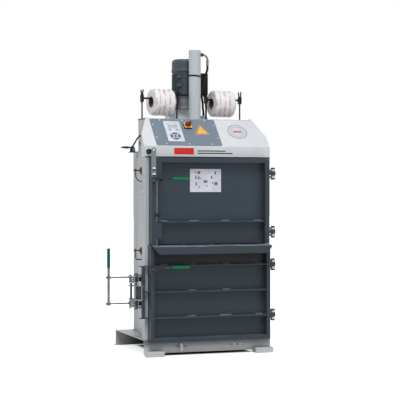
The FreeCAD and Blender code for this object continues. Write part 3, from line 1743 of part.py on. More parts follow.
def ejector_lever():
    """The short side lever on the bracket's pin; its tip shows past the soft grip."""
    hub = rod_y(ejector_x, ejector_depth - 7.5, ejector_depth + 7.5, ejector_z, 20)
    arm = rod_x(ejector_x - ejector_lever_length, ejector_x, ejector_depth, ejector_z, ejector_arm)
    lever_body = fuse([hub, arm])
    return lever_body.cut(
        rod_y(ejector_x, ejector_depth - 9, ejector_depth + 9, ejector_z, 8 + 2 * running_gap)
    )


def ejector_grip():
    """A leaf-shaped sleeve, thickest in its middle."""
    length = ejector_lever_length - ejector_tip - 16
    end = ejector_arm / 2 + 1.5
    outline = Part.Wire(
        [
            Part.makeLine(V(0, 0, 0), V(0, end, 0)),
            Part.Arc(V(0, end, 0), V(length / 2, ejector_grip_width / 2, 0), V(length, end, 0)).toShape(),
            Part.makeLine(V(length, end, 0), V(length, 0, 0)),
            Part.makeLine(V(length, 0, 0), V(0, 0, 0)),
        ]
    )
    leaf = Part.Face(outline).revolve(V(0, 0, 0), V(1, 0, 0), 360)
    leaf.translate(V(ejector_x - 16 - length, y_at(ejector_depth), ejector_z))
    return leaf.cut(
        rod_x(ejector_x - ejector_lever_length - 5, ejector_x, ejector_depth, ejector_z, ejector_arm)
    )


side_cable_route = [
    (-upright_outside, ejector_depth - 140, ejector_z + 73),
    (-upright_outside - 9, ejector_depth - 140, ejector_z + 73),
    (-upright_outside - 19, ejector_depth - 110, ejector_z + 56),
    (-upright_outside - 26, ejector_depth - 66, ejector_z + 24),
    (-upright_outside - 34, ejector_depth - 34, ejector_z + 2),
    (-upright_outside - 36, ejector_depth - 20, ejector_z - 14),
    (-upright_outside - 36, ejector_depth - 20, chamber_top - 3),
]

parts["ejector_bracket"] = ejector_bracket()
parts["ejector_lever"] = ejector_lever()
parts["ejector_grip"] = ejector_grip()
parts["ejector_cable"] = tube_route(side_cable_route, side_cable_diameter)


# ---------------------------------------------------------------- strap tail
def strap_tail():
    """The loose end of the left strap: out of its slot, up, and folded over to hang down."""
    x = -lane_x
    slot_low = strap_slot_z - strap_slot_height / 2
    outline = folded_outline(
        [
            (base_front + base_sheet, slot_low),
            (base_front - 3, slot_low),
            (base_front - 7, strap_tail_top),
            (base_front - 18, strap_tail_top),
            (base_front - 24, strap_tail_bottom),
        ],
        -strap_thickness,
        2.0,
    )
    return side_prism(outline, x - strap_width / 2, x + strap_width / 2)


parts["left_strap_tail"] = strap_tail()


# ---------------------------------------------------------------- export
os.makedirs("parts", exist_ok=True)
for name, shape in parts.items():
    solids = shape.Solids
    shape.exportStep("parts/" + name + ".step")
    print(name, len(solids), "solid(s)", round(shape.Volume / 1000.0, 1), "cm3", "valid", shape.isValid())
print(len(parts), "nodes")
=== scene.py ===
import math
import random

import bmesh
import bpy
from mathutils import Matrix, Vector


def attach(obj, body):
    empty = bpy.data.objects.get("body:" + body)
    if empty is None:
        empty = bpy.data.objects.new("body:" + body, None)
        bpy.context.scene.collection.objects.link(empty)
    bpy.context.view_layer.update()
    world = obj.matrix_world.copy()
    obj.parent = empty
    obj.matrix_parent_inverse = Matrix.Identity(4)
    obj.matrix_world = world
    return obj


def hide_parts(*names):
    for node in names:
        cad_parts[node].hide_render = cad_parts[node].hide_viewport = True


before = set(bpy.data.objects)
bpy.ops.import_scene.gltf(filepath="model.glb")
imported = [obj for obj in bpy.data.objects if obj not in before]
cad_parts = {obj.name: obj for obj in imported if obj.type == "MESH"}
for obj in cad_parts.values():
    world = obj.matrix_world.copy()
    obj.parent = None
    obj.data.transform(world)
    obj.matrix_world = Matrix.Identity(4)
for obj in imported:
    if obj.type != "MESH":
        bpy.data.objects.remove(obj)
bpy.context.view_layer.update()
scene = bpy.context.scene
MM = 0.001

# ---- places in the machine's frame
BAND_Y = -0.324                    # the hood's front band; depths count backwards from it
SLOPE = Matrix.Translation((0, BAND_Y, 1.349)) @ Matrix.Rotation(math.atan2(187.0, 188.0), 4, "X")
ROLL_DEPTH = 351.0
ROLL_RADIUS = 89.9
ROLLS = {"left": ((-214, ROLL_DEPTH, 1653.9), math.radians(9.0)),
         "right": ((214, ROLL_DEPTH, 1652.2), math.radians(5.5))}
COUPLING_BALL = (-362.5, -82, 906)
HOSE_ELBOW = (45, 280, 1974)


def at(x, depth, z):
    """A point from millimetres: across, behind the front band, up."""
    return Vector((x * MM, BAND_Y + depth * MM, z * MM))


# ---- node graphs
def linear(tone, factor=1.0):
    """An 8-bit screen colour as linear values, made darker or lighter by a factor."""
    values = []
    for channel in tone:
        share = channel / 255.0
        value = share / 12.92 if share <= 0.04045 else ((share + 0.055) / 1.055) ** 2.4
        values.append(min(1.0, value * factor))
    return (*values, 1.0)


class Graph:
    """Shorthand for adding and linking nodes in one tree."""

    def __init__(self, tree):
        self.tree = tree

    def add(self, kind, **settings):
        node = self.tree.nodes.new("ShaderNode" + kind)
        for name, value in settings.items():
            setattr(node, name, value)
        return node

    def link(self, source, target):
        if isinstance(source, (int, float, tuple)):
            target.default_value = source
        else:
            self.tree.links.new(source, target)

    def feed(self, node, *sources):
        """Links sources to a node's inputs in their order."""
        for source, target in zip(sources, node.inputs):
            self.link(source, target)
        return node.outputs

    def set(self, node, **values):
        """Links values to a node's inputs by name."""
        for name, value in values.items():
            self.link(value, node.inputs[name.replace("_", " ")])
        return node.outputs

    def group(self, tree, **values):
        return self.set(self.add("Group", node_tree=tree), **values)

    def math(self, operation, *values, clamp=False):
        return self.feed(self.add("Math", operation=operation, use_clamp=clamp), *values)[0]

    def times(self, product, *factors):
        for factor in factors:
            product = self.math("MULTIPLY", product, factor)
        return product

    def noise(self, vector, scale, detail=2.0, roughness=0.5):
        node = self.add("TexNoise")
        return self.set(node, Vector=vector, Scale=scale, Detail=detail, Roughness=roughness)["Fac"]

    def remap(self, value, low, high, to_low=0.0, to_high=1.0):
        node = self.add("MapRange")
        return self.set(node, Value=value, From_Min=low, From_Max=high, To_Min=to_low, To_Max=to_high)["Result"]

    def mix(self, mask, a, b):
        """Mixes two colours; three numbers are an 8-bit screen colour."""
        node = self.add("Mix", data_type="RGBA")
        for index, source in ((0, mask), (6, a), (7, b)):
            screen = isinstance(source, tuple) and len(source) == 3
            self.link(linear(source) if screen else source, node.inputs[index])
        return node.outputs[2]

    def coords(self):
        return self.add("TexCoord").outputs["Object"]

    def normal(self):
        return self.add("NewGeometry").outputs["Normal"]

    def split(self, vector):
        return self.feed(self.add("SeparateXYZ"), vector)

    def scaled(self, vector, factors):
        return self.feed(self.add("VectorMath", operation="MULTIPLY"), vector, factors)[0]

    def radial(self, place):
        """Distance from the X axis."""
        squares = [self.math("POWER", place[axis], 2.0) for axis in "YZ"]
        return self.math("SQRT", self.math("ADD", *squares))

    def seen(self):
        """1 on rays that the camera sees, straight or by way of gloss or glass."""
        rays = self.add("LightPath").outputs
        straight = self.math("MAXIMUM", rays["Is Camera Ray"], rays["Is Glossy Ray"])
        return self.math("MAXIMUM", straight, rays["Is Transmission Ray"])


def new_group(name, inputs, outputs):
    """A node group with named inputs (name: default) and named float outputs."""
    tree = bpy.data.node_groups.new(name, "ShaderNodeTree")
    for label, default in inputs.items():
        kind = "NodeSocketVector" if default is None else "NodeSocketFloat"
        socket = tree.interface.new_socket(name=label, in_out="INPUT", socket_type=kind)
        if default is not None:
            socket.default_value = default
    for label in outputs:
        tree.interface.new_socket(name=label, in_out="OUTPUT", socket_type="NodeSocketFloat")
    return Graph(tree), tree.nodes.new("NodeGroupInput").outputs, tree.nodes.new("NodeGroupOutput").inputs


def edge_wear_and_highlight_group():
    """A thin, broken line where two faces meet: worn paint, and painted highlight along the edges."""
    g, given, out = new_group("edge_wear_and_highlight", {"Width": 0.0012, "Amount": 0.5}, ["Mask"])
    rounded = g.set(g.add("Bevel", samples=4), Radius=given["Width"])[0]
    dot = g.feed(g.add("VectorMath", operation="DOT_PRODUCT"), rounded, g.normal())["Value"]
    broken = g.remap(g.noise(g.coords(), 55, 4, 0.7), 0.38, 0.62)
    g.link(g.times(g.remap(dot, 0.995, 0.85), broken, given["Amount"]), out["Mask"])
    return g.tree


def paint_group():
    """Orange peel of a powder coat and its slow change of tone."""
    g, given, out = new_group("paint_skin", {"Grain": 700, "Cloud": 3.0}, ["Height", "Tone"])
    where = g.coords()
    g.link(g.noise(where, given["Grain"], 2, 0.55), out["Height"])
    g.link(g.noise(where, given["Cloud"], 3, 0.6), out["Tone"])
    return g.tree


def dust_and_top_light_group():
    """Dust that settles on what faces up, more in some places than others; on the doors and the lip it also paints top
    light.
    """
    g, given, out = new_group("settled_dust_and_top_light", {"Amount": 0.3, "Scale": 9.0}, ["Mask"])
    upward = g.remap(g.split(g.normal())["Z"], 0.45, 0.95)
    patch = g.remap(g.noise(g.coords(), given["Scale"], 4, 0.65), 0.3, 0.7)
    g.link(g.times(upward, patch, given["Amount"]), out["Mask"])
    return g.tree


def rolled_group():
    """Fine lines along one axis, for rolled and plated metal."""
    g, given, out = new_group("rolled_lines", {"Vector": None, "Scale": 400.0}, ["Height", "Blotch"])
    drawn_out = g.scaled(given["Vector"], (1, 1, 0.03))
    g.link(g.noise(drawn_out, given["Scale"], 3, 0.6), out["Height"])
    g.link(g.noise(given["Vector"], 38, 4, 0.7), out["Blotch"])
    return g.tree


def strap_group():
    """Broken red marks that wander round a wound roll, and the fine rib of the strap."""
    g, given, out = new_group("strap_print", {"Vector": None, "Radius": 0.09, "Sway": 0.028}, ["Mask", "Rib", "Tone"])
    where = g.split(given["Vector"])
    angle = g.math("ARCTAN2", where["Z"], g.times(where["Y"], -1))
    around = g.times(angle, given["Radius"])
    across = g.math("ADD", where["X"], g.times(g.math("COSINE", angle), given["Sway"]))
    marks = []
    for pitch, start, repeat, length, half in ((0.036, 0, 0.094, 0.74, 0.085), (0.047, 0.31, 0.131, 0.36, 0.075)):
        lane = g.math("MULTIPLY_ADD", across, 1 / pitch, start)
        seed = g.set(g.add("TexWhiteNoise", noise_dimensions="1D"), W=g.math("FLOOR", lane))["Value"]
        place = g.math("FRACT", g.math("MULTIPLY_ADD", around, 1 / repeat, seed))
        dash = g.math("LESS_THAN", place, length)
        stroke = g.math("LESS_THAN", g.math("FRACT", g.times(place, 17)), 0.78)
        middle = g.math("MULTIPLY_ADD", seed, 0.2, 0.4)
        aside = g.math("ABSOLUTE", g.math("SUBTRACT", g.math("FRACT", lane), middle))
        marks.append(g.times(dash, stroke, g.math("LESS_THAN", aside, half)))
    worn = g.remap(g.noise(given["Vector"], 110, 3, 0.6), 0.34, 0.44)
    bold = g.remap(where["Z"], -0.02, -0.07, 0.75, 1)
    radial = g.radial(where)
    skin = g.math("GREATER_THAN", radial, g.math("SUBTRACT", given["Radius"], 0.008))
    g.link(g.times(g.math("MAXIMUM", *marks), worn, bold, skin), out["Mask"])
    threads = g.math("SINE", g.times(where["X"], 4200))
    rings = g.math("SINE", g.times(radial, 4600))
    on_ends = g.times(rings, g.math("SUBTRACT", 1, skin))
    g.link(g.math("ADD", g.times(threads, skin), on_ends), out["Rib"])
    streaks = g.scaled(given["Vector"], (1, 0.12, 0.12))
    g.link(g.noise(streaks, 260, 4, 0.7), out["Tone"])
    return g.tree


EDGE_WEAR_AND_HIGHLIGHT = edge_wear_and_highlight_group()
PAINT_SKIN = paint_group()
SETTLED_DUST_AND_TOP_LIGHT = dust_and_top_light_group()
ROLLED_LINES = rolled_group()
STRAP_PRINT = strap_group()


# ---- finishes
class Surface(Graph):
    """The graph of a new material, round its Principled shader."""

    def __init__(self, name, metallic=0.0, coat=0.0, gloss=0.5):
        self.material = bpy.data.materials.new(name)
        self.material.use_nodes = True
        super().__init__(self.material.node_tree)
        self.shader = self.tree.nodes["Principled BSDF"]
        self.set(self.shader, Metallic=metallic, Specular_IOR_Level=gloss)
        if coat:
            self.set(self.shader, Coat_Weight=coat, Coat_Roughness=0.12)

    def edges(self, base, width, amount, tone):
        return self.mix(self.group(EDGE_WEAR_AND_HIGHLIGHT, Width=width, Amount=amount)["Mask"], base, tone)

    def done(self, tone, roughness, height, strength, distance):
        """Links the finished colour, roughness and relief to the shader."""
        bump = self.set(self.add("Bump"), Strength=strength, Distance=distance, Height=height)
        self.set(self.shader, Base_Color=tone, Roughness=roughness, Normal=bump[0])
        return self.material


def painted(name, tone, rough=0.42, wear=0.5, wear_and_highlight_tone=None, dust=0.25, gloss=0.4, dust_and_top_light_tone=(196, 192, 184),
            grain=700.0, peel=0.25, painted_shade=None):
    """Powder coat: slow tone change, orange peel, bright edges of wear and painted highlight, settled dust (painted top
    light as well on the doors and the lip) and, on some, painted shade along one axis.
    """
    g = Surface(name, gloss=gloss)
    skin = g.group(PAINT_SKIN, Grain=grain, Cloud=2.6)
    base = g.mix(g.remap(skin["Tone"], 0.3, 0.7), linear(tone, 0.93), linear(tone, 1.06))
    worn = g.edges(base, 0.0012, wear, wear_and_highlight_tone or linear(tone, 1.8))
    upward_mask = g.group(SETTLED_DUST_AND_TOP_LIGHT, Amount=dust, Scale=8.0)["Mask"]
    if painted_shade:
        axis, unshaded_end, shaded_end, strength, ceiling, away_from, toward = painted_shade
        where = g.split(g.coords())
        spread = g.remap(where[axis], unshaded_end, shaded_end, 0, strength)
        below = g.remap(where["Z"], ceiling, ceiling - 0.003)
        facing = g.remap(g.split(g.normal())["Y"], away_from, toward)
        # painted shade: the coat darkens towards one end of an axis, below a height, on faces turned one way
        worn = g.mix(g.times(spread, below, facing), worn, (30, 28, 28))
    uneven = g.remap(skin["Tone"], 0.2, 0.8, rough - 0.05, rough + 0.07)
    roughness = g.math("ADD", uneven, g.times(upward_mask, 0.3), clamp=True)
    return g.done(g.mix(upward_mask, worn, dust_and_top_light_tone), roughness, skin["Height"], peel, 0.0004)


def plated(name, tone, rough=0.36, metallic=0.6, blotch=0.35):
    """Zinc or steel with rolling lines, cloudy passivation and bright edges of wear and painted highlight."""
    g = Surface(name, metallic=metallic)
    lines = g.group(ROLLED_LINES, Vector=g.coords(), Scale=380.0)
    cloud = g.remap(lines["Blotch"], 0.35, 0.65, 0, blotch)
    worn = g.edges(g.mix(cloud, tone, linear(tone, 0.62)), 0.0008, 0.7, linear(tone, 1.5))
    roughness = g.remap(lines["Blotch"], 0.3, 0.7, rough - 0.06, rough + 0.14)
    return g.done(worn, roughness, lines["Height"], 0.18, 0.0003)


def cast(name, tone):
    """Sand-cast metal: coarse pitted skin."""
    g = Surface(name, metallic=0.3)
    skin = g.group(PAINT_SKIN, Grain=260.0, Cloud=12.0)
    base = g.mix(g.remap(skin["Tone"], 0.35, 0.65), linear(tone, 0.75), linear(tone, 1.12))
    worn = g.edges(base, 0.0015, 0.6, linear(tone, 1.5))
    upward_mask = g.group(SETTLED_DUST_AND_TOP_LIGHT, Amount=0.5, Scale=14.0)["Mask"]
    roughness = g.remap(skin["Height"], 0.3, 0.7, 0.52, 0.72)
    return g.done(g.mix(upward_mask, worn, (176, 168, 160)), roughness, skin["Height"], 0.6, 0.0009)


def moulded(name, tone, rough=0.4, coat=0.0, strength=0.05, dust=0.0, gloss=0.4, grain=1400.0):
    """Plastic, rubber or film: fine leathery grain, faint edges that are rubbed and carry painted highlight."""
    g = Surface(name, coat=coat, gloss=gloss)
    skin = g.group(PAINT_SKIN, Grain=grain, Cloud=25.0)
    base = g.mix(g.remap(skin["Tone"], 0.3, 0.7), linear(tone, 0.88), linear(tone, 1.1))
    worn = g.edges(base, 0.0006, 0.4, linear(tone, 1.7))
    upward_mask = g.group(SETTLED_DUST_AND_TOP_LIGHT, Amount=dust, Scale=30.0)["Mask"]
    roughness = g.remap(skin["Tone"], 0.25, 0.75, rough - 0.07, rough + 0.08)
    return g.done(g.mix(upward_mask, worn, (170, 168, 164)), roughness, skin["Height"], strength, 0.0003)


def local_frame(g, centre, yaw):
    """Object coordinates moved to a roll's middle and turned along its axis."""
    moved = Matrix.Rotation(-yaw, 3, "Z") @ -at(*centre)
    return g.set(g.add("Mapping"), Vector=g.coords(), Location=tuple(moved), Rotation=(0, 0, -yaw))[0]


def strap_material(name, centre, yaw=0.0, radius=ROLL_RADIUS * MM):
    """White woven strap, wound on a roll or hanging, with scattered red marks."""
    g = Surface(name, coat=0.12)
    marks = g.group(STRAP_PRINT, Vector=local_frame(g, centre, yaw), Radius=radius)
    cloth = g.mix(g.remap(marks["Tone"], 0.3, 0.7), (214, 215, 218), (248, 248, 250))
    roughness = g.remap(marks["Tone"], 0.3, 0.7, 0.34, 0.5)
    return g.done(g.mix(marks["Mask"], cloth, (208, 24, 32)), roughness, marks["Rib"], 0.35, 0.0004)


def card_material(name, centre, yaw):
    """Wound brown card: layers at the cut ends, a bore darkened as painted shade."""
    g = Surface(name)
    bore = g.remap(g.radial(g.split(local_frame(g, centre, yaw))), 0.0352, 0.0346)
    where = g.coords()
    fibres = g.noise(where, 240, 4, 0.7)
    base = g.mix(g.remap(g.noise(where, 30), 0.3, 0.7), (176, 128, 96), (212, 168, 134))
    layered = g.mix(g.remap(fibres, 0.45, 0.6, 0, 0.4), base, (136, 98, 72))
    return g.done(g.mix(bore, layered, (92, 76, 68)), g.remap(fibres, 0.3, 0.7, 0.7, 0.9), fibres, 0.4, 0.0004)


def stand_material(name):
    """Brown primer on the posts; the forks and the rod above are blackened, with bright edges of wear and painted
    highlight.
    """
    g = Surface(name, gloss=0.15)
    upper = g.remap(g.split(g.coords())["Z"], 1.635, 1.645)
    skin = g.group(PAINT_SKIN, Grain=500.0, Cloud=30.0)
    cloud = g.remap(skin["Tone"], 0.3, 0.7)
    base = g.mix(upper, g.mix(cloud, (24, 17, 16), (66, 38, 30)), g.mix(cloud, (14, 15, 17), (34, 36, 40)))
    worn = g.edges(base, 0.0006, 0.12, g.mix(upper, (112, 66, 48), (128, 142, 152)))
    return g.done(worn, g.remap(skin["Height"], 0.3, 0.7, 0.4, 0.6), skin["Height"], 0.3, 0.0004)


def parted(name, first, second, centre, radius, metallic=0.4, rough=0.36):
    """Two finishes on one piece: the second inside a ball round a centre."""
    g = Surface(name, gloss=0.25)
    where = g.coords()
    apart = g.feed(g.add("VectorMath", operation="DISTANCE"), where, tuple(at(*centre)))["Value"]
    inside = g.math("LESS_THAN", apart, radius)
    lines = g.group(ROLLED_LINES, Vector=where, Scale=380.0)
    cloud = g.remap(lines["Blotch"], 0.35, 0.65)
    base = g.mix(inside, g.mix(cloud, first, linear(first, 0.7)), g.mix(cloud, second, linear(second, 0.8)))
    g.set(g.shader, Metallic=g.times(g.math("SUBTRACT", 1, inside), metallic))
    roughness = g.remap(lines["Blotch"], 0.3, 0.7, rough - 0.05, rough + 0.1)
    return g.done(base, roughness, lines["Height"], 0.15, 0.0003)


def two_heights(name, below_tone, above_tone, height):
    """Small heads of one tone below a height and another above it."""
    g = Surface(name)
    where = g.coords()
    cloud = g.remap(g.noise(where, 300), 0.35, 0.65)
    base = g.mix(g.math("GREATER_THAN", g.split(where)["Z"], height), below_tone, above_tone)
    speckled = g.mix(g.times(cloud, 0.15), base, (128, 130, 132))
    return g.done(speckled, g.remap(cloud, 0, 1, 0.3, 0.42), cloud, 0.1, 0.0002)


SLATE = (54, 64, 73)
BODY_GREY = (183, 189, 193)
SCREW_WHITE = (244, 246, 248)
WORN_AND_LIT_SLATE = (112, 126, 138)
WORN_AND_LIT_GREY = (232, 235, 236)
# light blue-grey on the doors' upward faces: dust, and painted top light
DOOR_DUST_AND_TOP_LIGHT = {"gloss": 0.2, "dust_and_top_light_tone": (138, 154, 165)}

# name, tone, roughness, wear and painted highlight of the edges and their tone, dust (on the doors and the lip also
# painted top light)
finish = {
    # painted shade on the body: darker towards the floor on faces that don't face the front
    "body": painted("body_grey_coat", BODY_GREY, 0.42, 0.35, WORN_AND_LIT_GREY, painted_shade=("Z", 0.62, 0, 0.23, 2, -0.6, -0.2)),
    "hood": painted("hood_light_coat", (214, 218, 222), 0.38, 0.3, (250, 250, 250)),
    "door": painted("slate_coat", SLATE, 0.4, 0.5, WORN_AND_LIT_SLATE, 0.4, **DOOR_DUST_AND_TOP_LIGHT),
    # painted shade under the lip: a darker tone, and darker still towards the lip
    "door_under": painted("slate_coat_under_lip", (50, 59, 67), 0.4, 0.5, WORN_AND_LIT_SLATE, 0.3, **DOOR_DUST_AND_TOP_LIGHT,
                          painted_shade=("Z", 0.582, 0.635, 1, 1, -0.2, -0.6)),
    # the lip's upward faces take the light blue-grey in full as painted top light; its pale edges are wear and painted
    # highlight
    "lip": painted("slate_coat_lip", SLATE, 0.4, 0.5, (120, 136, 148), 1, gloss=0.2, dust_and_top_light_tone=(146, 164, 176)),
    # painted shade on the wall: darker towards the floor
    "wall": painted("wall_grey_coat", (173, 180, 184), 0.42, 0.35, (226, 229, 230), painted_shade=("Z", 1, 0, 0.41, 2, 2, 1.6)),
    # painted shade on the apron's front: darker towards its top, under the doors' overhang
    "apron": painted("apron_grey_coat", (196, 200, 204), 0.42, 0.35, WORN_AND_LIT_GREY,
                     painted_shade=("Z", 0.049, 0.082, 0.7, 0.2, -0.2, -0.6)),
    # painted shade on the base's front faces: darker from the left end inwards, under the machine
    "base": painted("base_grey_coat", BODY_GREY, 0.42, 0.35, WORN_AND_LIT_GREY,
                    painted_shade=("X", -0.46, -0.26, 0.92, 0.104, -0.2, -0.6)),
    "primer": painted("dark_brown_top_strip", (66, 58, 55), 0.55, 0.6, (132, 118, 108)),
    "lever": painted("lever_slate_coat", (36, 42, 48), 0.4, 0.4, (96, 106, 114), 0.1, gloss=0.2),
    "panel": painted("panel_blue_grey", (112, 126, 140), 0.42, 0.3, None, 0, grain=1100.0),
    "tank": painted("tank_grey_coat", (230, 241, 248), dust=0.1),
    "cylinder": painted("cylinder_coat", (181, 188, 191), 0.34, 0.3, peel=0.12),
    "motor": painted("motor_enamel", (56, 66, 74), 0.42, 0.5, (120, 130, 138), 0.3, grain=420.0),
    "platen": painted("platen_coat", (78, 88, 96), 0.5, 0.9, (150, 150, 148)),
    "nut": painted("blackened_nut", (22, 22, 24), 0.4, 0.5, (96, 98, 100), 0.1),
    "weld": painted("weld_coat", (128, 140, 150), 0.34, 0, None, 0.1),
    "deep": painted("deep_shadow_gap", (8, 8, 9), 0.8, 0, None, 0, gloss=0.1),
    "screw": painted("screw_head_white", SCREW_WHITE, 0.3, 0.2, None, 0),
    "rust": painted("bow_bracket_primer", (92, 60, 52), 0.55, 0.9, (196, 128, 108)),
    "fitting": parted("fitting_steel", (134, 130, 128), (52, 54, 58), HOSE_ELBOW, 0.019),
    "coupling": parted("rod_and_ball", (196, 210, 216), (9, 9, 10), COUPLING_BALL, 0.0158, 0.15),
    "screws": two_heights("screw_heads", SCREW_WHITE, (58, 64, 70), 1.5355),
    "stand": stand_material("stand_primer"),
    "cast": cast("bell_casting", (117, 116, 121)),
    "tail_strap": strap_material("tail_strap", (-186, 0, 50), radius=0.0885),
}
for side, (middle, yaw) in ROLLS.items():
    finish[side + "_card"] = card_material(side + "_wound_card", middle, yaw)
    finish[side + "_strap"] = strap_material(side + "_strap", middle, yaw)

# name, tone, roughness, metallic share, blotches
PLATED = {
    "floor_steel": ("worn_floor_steel", (120, 122, 124), 0.42, 0.8, 0.7),
    "zinc": ("bright_zinc", (112, 126, 128)),
    "hook_steel": ("hook_steel", (112, 118, 121), 0.34, 0.5, 1),
    "latch_steel": ("latch_steel", (96, 108, 113), 0.34, 0.6, 1),
    "pale_zinc": ("pale_zinc", (190, 196, 200), 0.36, 0.4, 0.3),
    # the bow wires are zinc; their near-black tone, with darker patches, is painted shade
    "wire": ("bow_wire", (50, 50, 52), 0.36, 0.3, 1.2),
    "chrome": ("ground_rod", (214, 216, 218), 0.12, 1, 0.05),
    "bronze": ("bronze_washer", (176, 118, 88), 0.4, 0.3),
}
# name, tone, roughness, clear coat, relief, dust, gloss, grain
MOULDED = {
    "keypad": ("keypad_film", (206, 214, 224), 0.36, 0.2, 0.1),
    "yellow": ("switch_yellow", (248, 200, 74), 0.34, 0.3, 0.1),
    "red": ("knob_red", (136, 14, 18), 0.3, 0.3, 0.1, 0, 0.2),
    "black": ("black_moulding", (15, 16, 18), 0.42, 0, 0.25, 0, 0.15),
    "green": ("green_grip", (0, 92, 46), 0.5, 0, 0.25, 0, 0.1, 900),
    "green_light": ("green_grip_light", (2, 126, 66), 0.5, 0, 0.25, 0, 0.1, 900),
    "hose": ("black_hose", (15, 16, 18), 0.5, 0, 0.5, 0, 0.15, 2200),
    "key": ("key_slate", (84, 96, 108), 0.4, 0, 0.1),
    "key_pale": ("key_pale", (146, 156, 168), 0.4, 0, 0.1),
    "lcd": ("display_grey", (174, 180, 180), 0.2, 0.6),
    "amber": ("amber_film", (240, 182, 64), 0.4, 0, 0.1),
    "orange": ("orange_ring", (186, 70, 48), 0.4, 0, 0.25, 0.1),
    "paper": ("notice_paper", (212, 215, 227), 0.55, 0, 0.08, 0, 0.4, 500),
    "print_blue": ("print_blue", (60, 108, 156), 0.55),
    "print_brown": ("print_brown", (128, 98, 84), 0.55),
    "print_red": ("print_red", (226, 92, 96), 0.55),
    "band_red": ("band_red_film", (214, 36, 32)),
    "band_dark": ("band_dark_film", (40, 42, 46)),
    "ring_grey": ("badge_grey", (116, 126, 146)),
    "ring_light": ("badge_light", (180, 189, 203), 0.36),
    "film_pale": ("side_film", (202, 208, 216)),
    "film_blue": ("side_film_mark", (108, 126, 146), 0.5),
}
finish.update({key: plated(*row) for key, row in PLATED.items()})
finish.update({key: moulded(*row) for key, row in MOULDED.items()})

DRESSED = {
    "base": "base_plate",
    "apron": "front_apron front_feet",
    "wall": "chamber_shell",
    "body": "left_column right_column chamber_deck left_upright right_upright crosshead",
    "hood": "hood",
    "door": "upper_door_frame upper_door_panel lower_door_frame",
    "lip": "loading_lip",
    "door_under": "lower_door_panel",
    "lever": "upper_lever lower_lever",
    "panel": "panel_plate",
    "tank": "oil_tank",
    "cylinder": "cylinder_barrel",
    "motor": "motor_stator fan_cowl cylinder_gland",
    "platen": "press_platen",
    "floor_steel": "chamber_floor",
    "zinc": "interlock_bar ejector_bracket",
    "latch_steel": "latch_bracket latch_handle",
    "hook_steel": "latch_hook",
    "pale_zinc": "hinge_hardware",
    "fitting": "hose_fittings",
    "coupling": "coupling_rod",
    "wire": "upper_bow lower_bow",
    "rust": "bow_brackets",
    "chrome": "piston_rod",
    "screws": "panel_screws",
    "stand": "left_spool_stand right_spool_stand",
    "cast": "bell_housing",
    "keypad": "keypad",
    "yellow": "switch_plate",
    "red": "switch_knob",
    "black": "terminal_box interlock_switch ejector_lever",
    "green": "latch_grip ejector_grip",
    "green_light": "upper_lever_grip lower_lever_grip",
    "hose": "pressure_hose motor_cable ejector_cable",
    "left_card": "left_roll_core",
    "right_card": "right_roll_core",
}
for key, nodes in DRESSED.items():
    for node in nodes.split():
        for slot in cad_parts[node].material_slots:
            slot.material = finish[key]


# ---- shapes, measured in millimetres
def placed(point, matrix):
    """A point in the machine's frame, or a bare one that a matrix will place."""
    return Vector(point) * MM if matrix else at(*point)


def transform(bm, verts, matrix):
    bmesh.ops.transform(bm, matrix=matrix, verts=verts)


def bevelled(bm, made, edges, offset, segments=2):
    """Rounds edges and gives the vertices that the shape has then."""
    result = bmesh.ops.bevel(
        bm, geom=list(edges), offset=offset * MM, segments=segments, profile=0.5, affect="EDGES", material=-1
    )
    return list({vert for face in result["faces"] for vert in face.verts} | {v for v in made if v.is_valid})


def level_edges(verts):
    return {e for v in verts for e in v.link_edges if abs(e.verts[0].co.z - e.verts[1].co.z) < 1e-7}


def turn_to(axis):
    return Vector(axis).to_track_quat("Z", "Y").to_matrix().to_4x4()


def block(bm, low, high, rounding=0.0, segments=2, matrix=None):
    """A box between two corners, with rounded edges."""
    low, high = placed(low, matrix), placed(high, matrix)
    made = bmesh.ops.create_cube(bm, size=1.0)["verts"]
    sized = Matrix.Translation((low + high) / 2) @ Matrix.Diagonal((*(high - low), 1))
    transform(bm, made, (matrix or Matrix()) @ sized)
    if rounding:
        bevelled(bm, made, {edge for vert in made for edge in vert.link_edges}, rounding, segments)


def rod(bm, start, end, radius, sides=24, rim=0.0, matrix=None):
    """A round bar from start to end, with chamfered rims."""
    start, end = placed(start, matrix), placed(end, matrix)
    made = bmesh.ops.create_cone(
        bm, cap_ends=True, segments=sides, radius1=radius * MM, radius2=radius * MM, depth=(end - start).length
    )["verts"]
    if rim:
        made = bevelled(bm, made, level_edges(made), rim)
    transform(bm, made, (matrix or Matrix()) @ Matrix.Translation((start + end) / 2) @ turn_to(end - start))


def turned(bm, profile, centre, axis=(0, 0, 1), steps=64, matrix=None, closed=True):
    """A lathe form: an outline of (radius, height) points spun round an axis."""
    before = set(bm.verts)
    verts = [bm.verts.new((radius * MM, 0, height * MM)) for radius, height in profile]
    following = verts[1:] + (verts[:1] if closed else [])
    edges = [bm.edges.new(pair) for pair in zip(verts, following)]
    bmesh.ops.spin(
        bm, geom=verts + edges, cent=(0, 0, 0), axis=(0, 0, 1), angle=math.tau, steps=steps, use_merge=True
    )
    bmesh.ops.remove_doubles(bm, verts=[vert for vert in bm.verts if vert not in before], dist=1e-6)
    made = [vert for vert in bm.verts if vert not in before]
    place = Matrix.Translation(placed(centre, matrix)) @ turn_to(axis)
    transform(bm, made, (matrix or Matrix()) @ place)


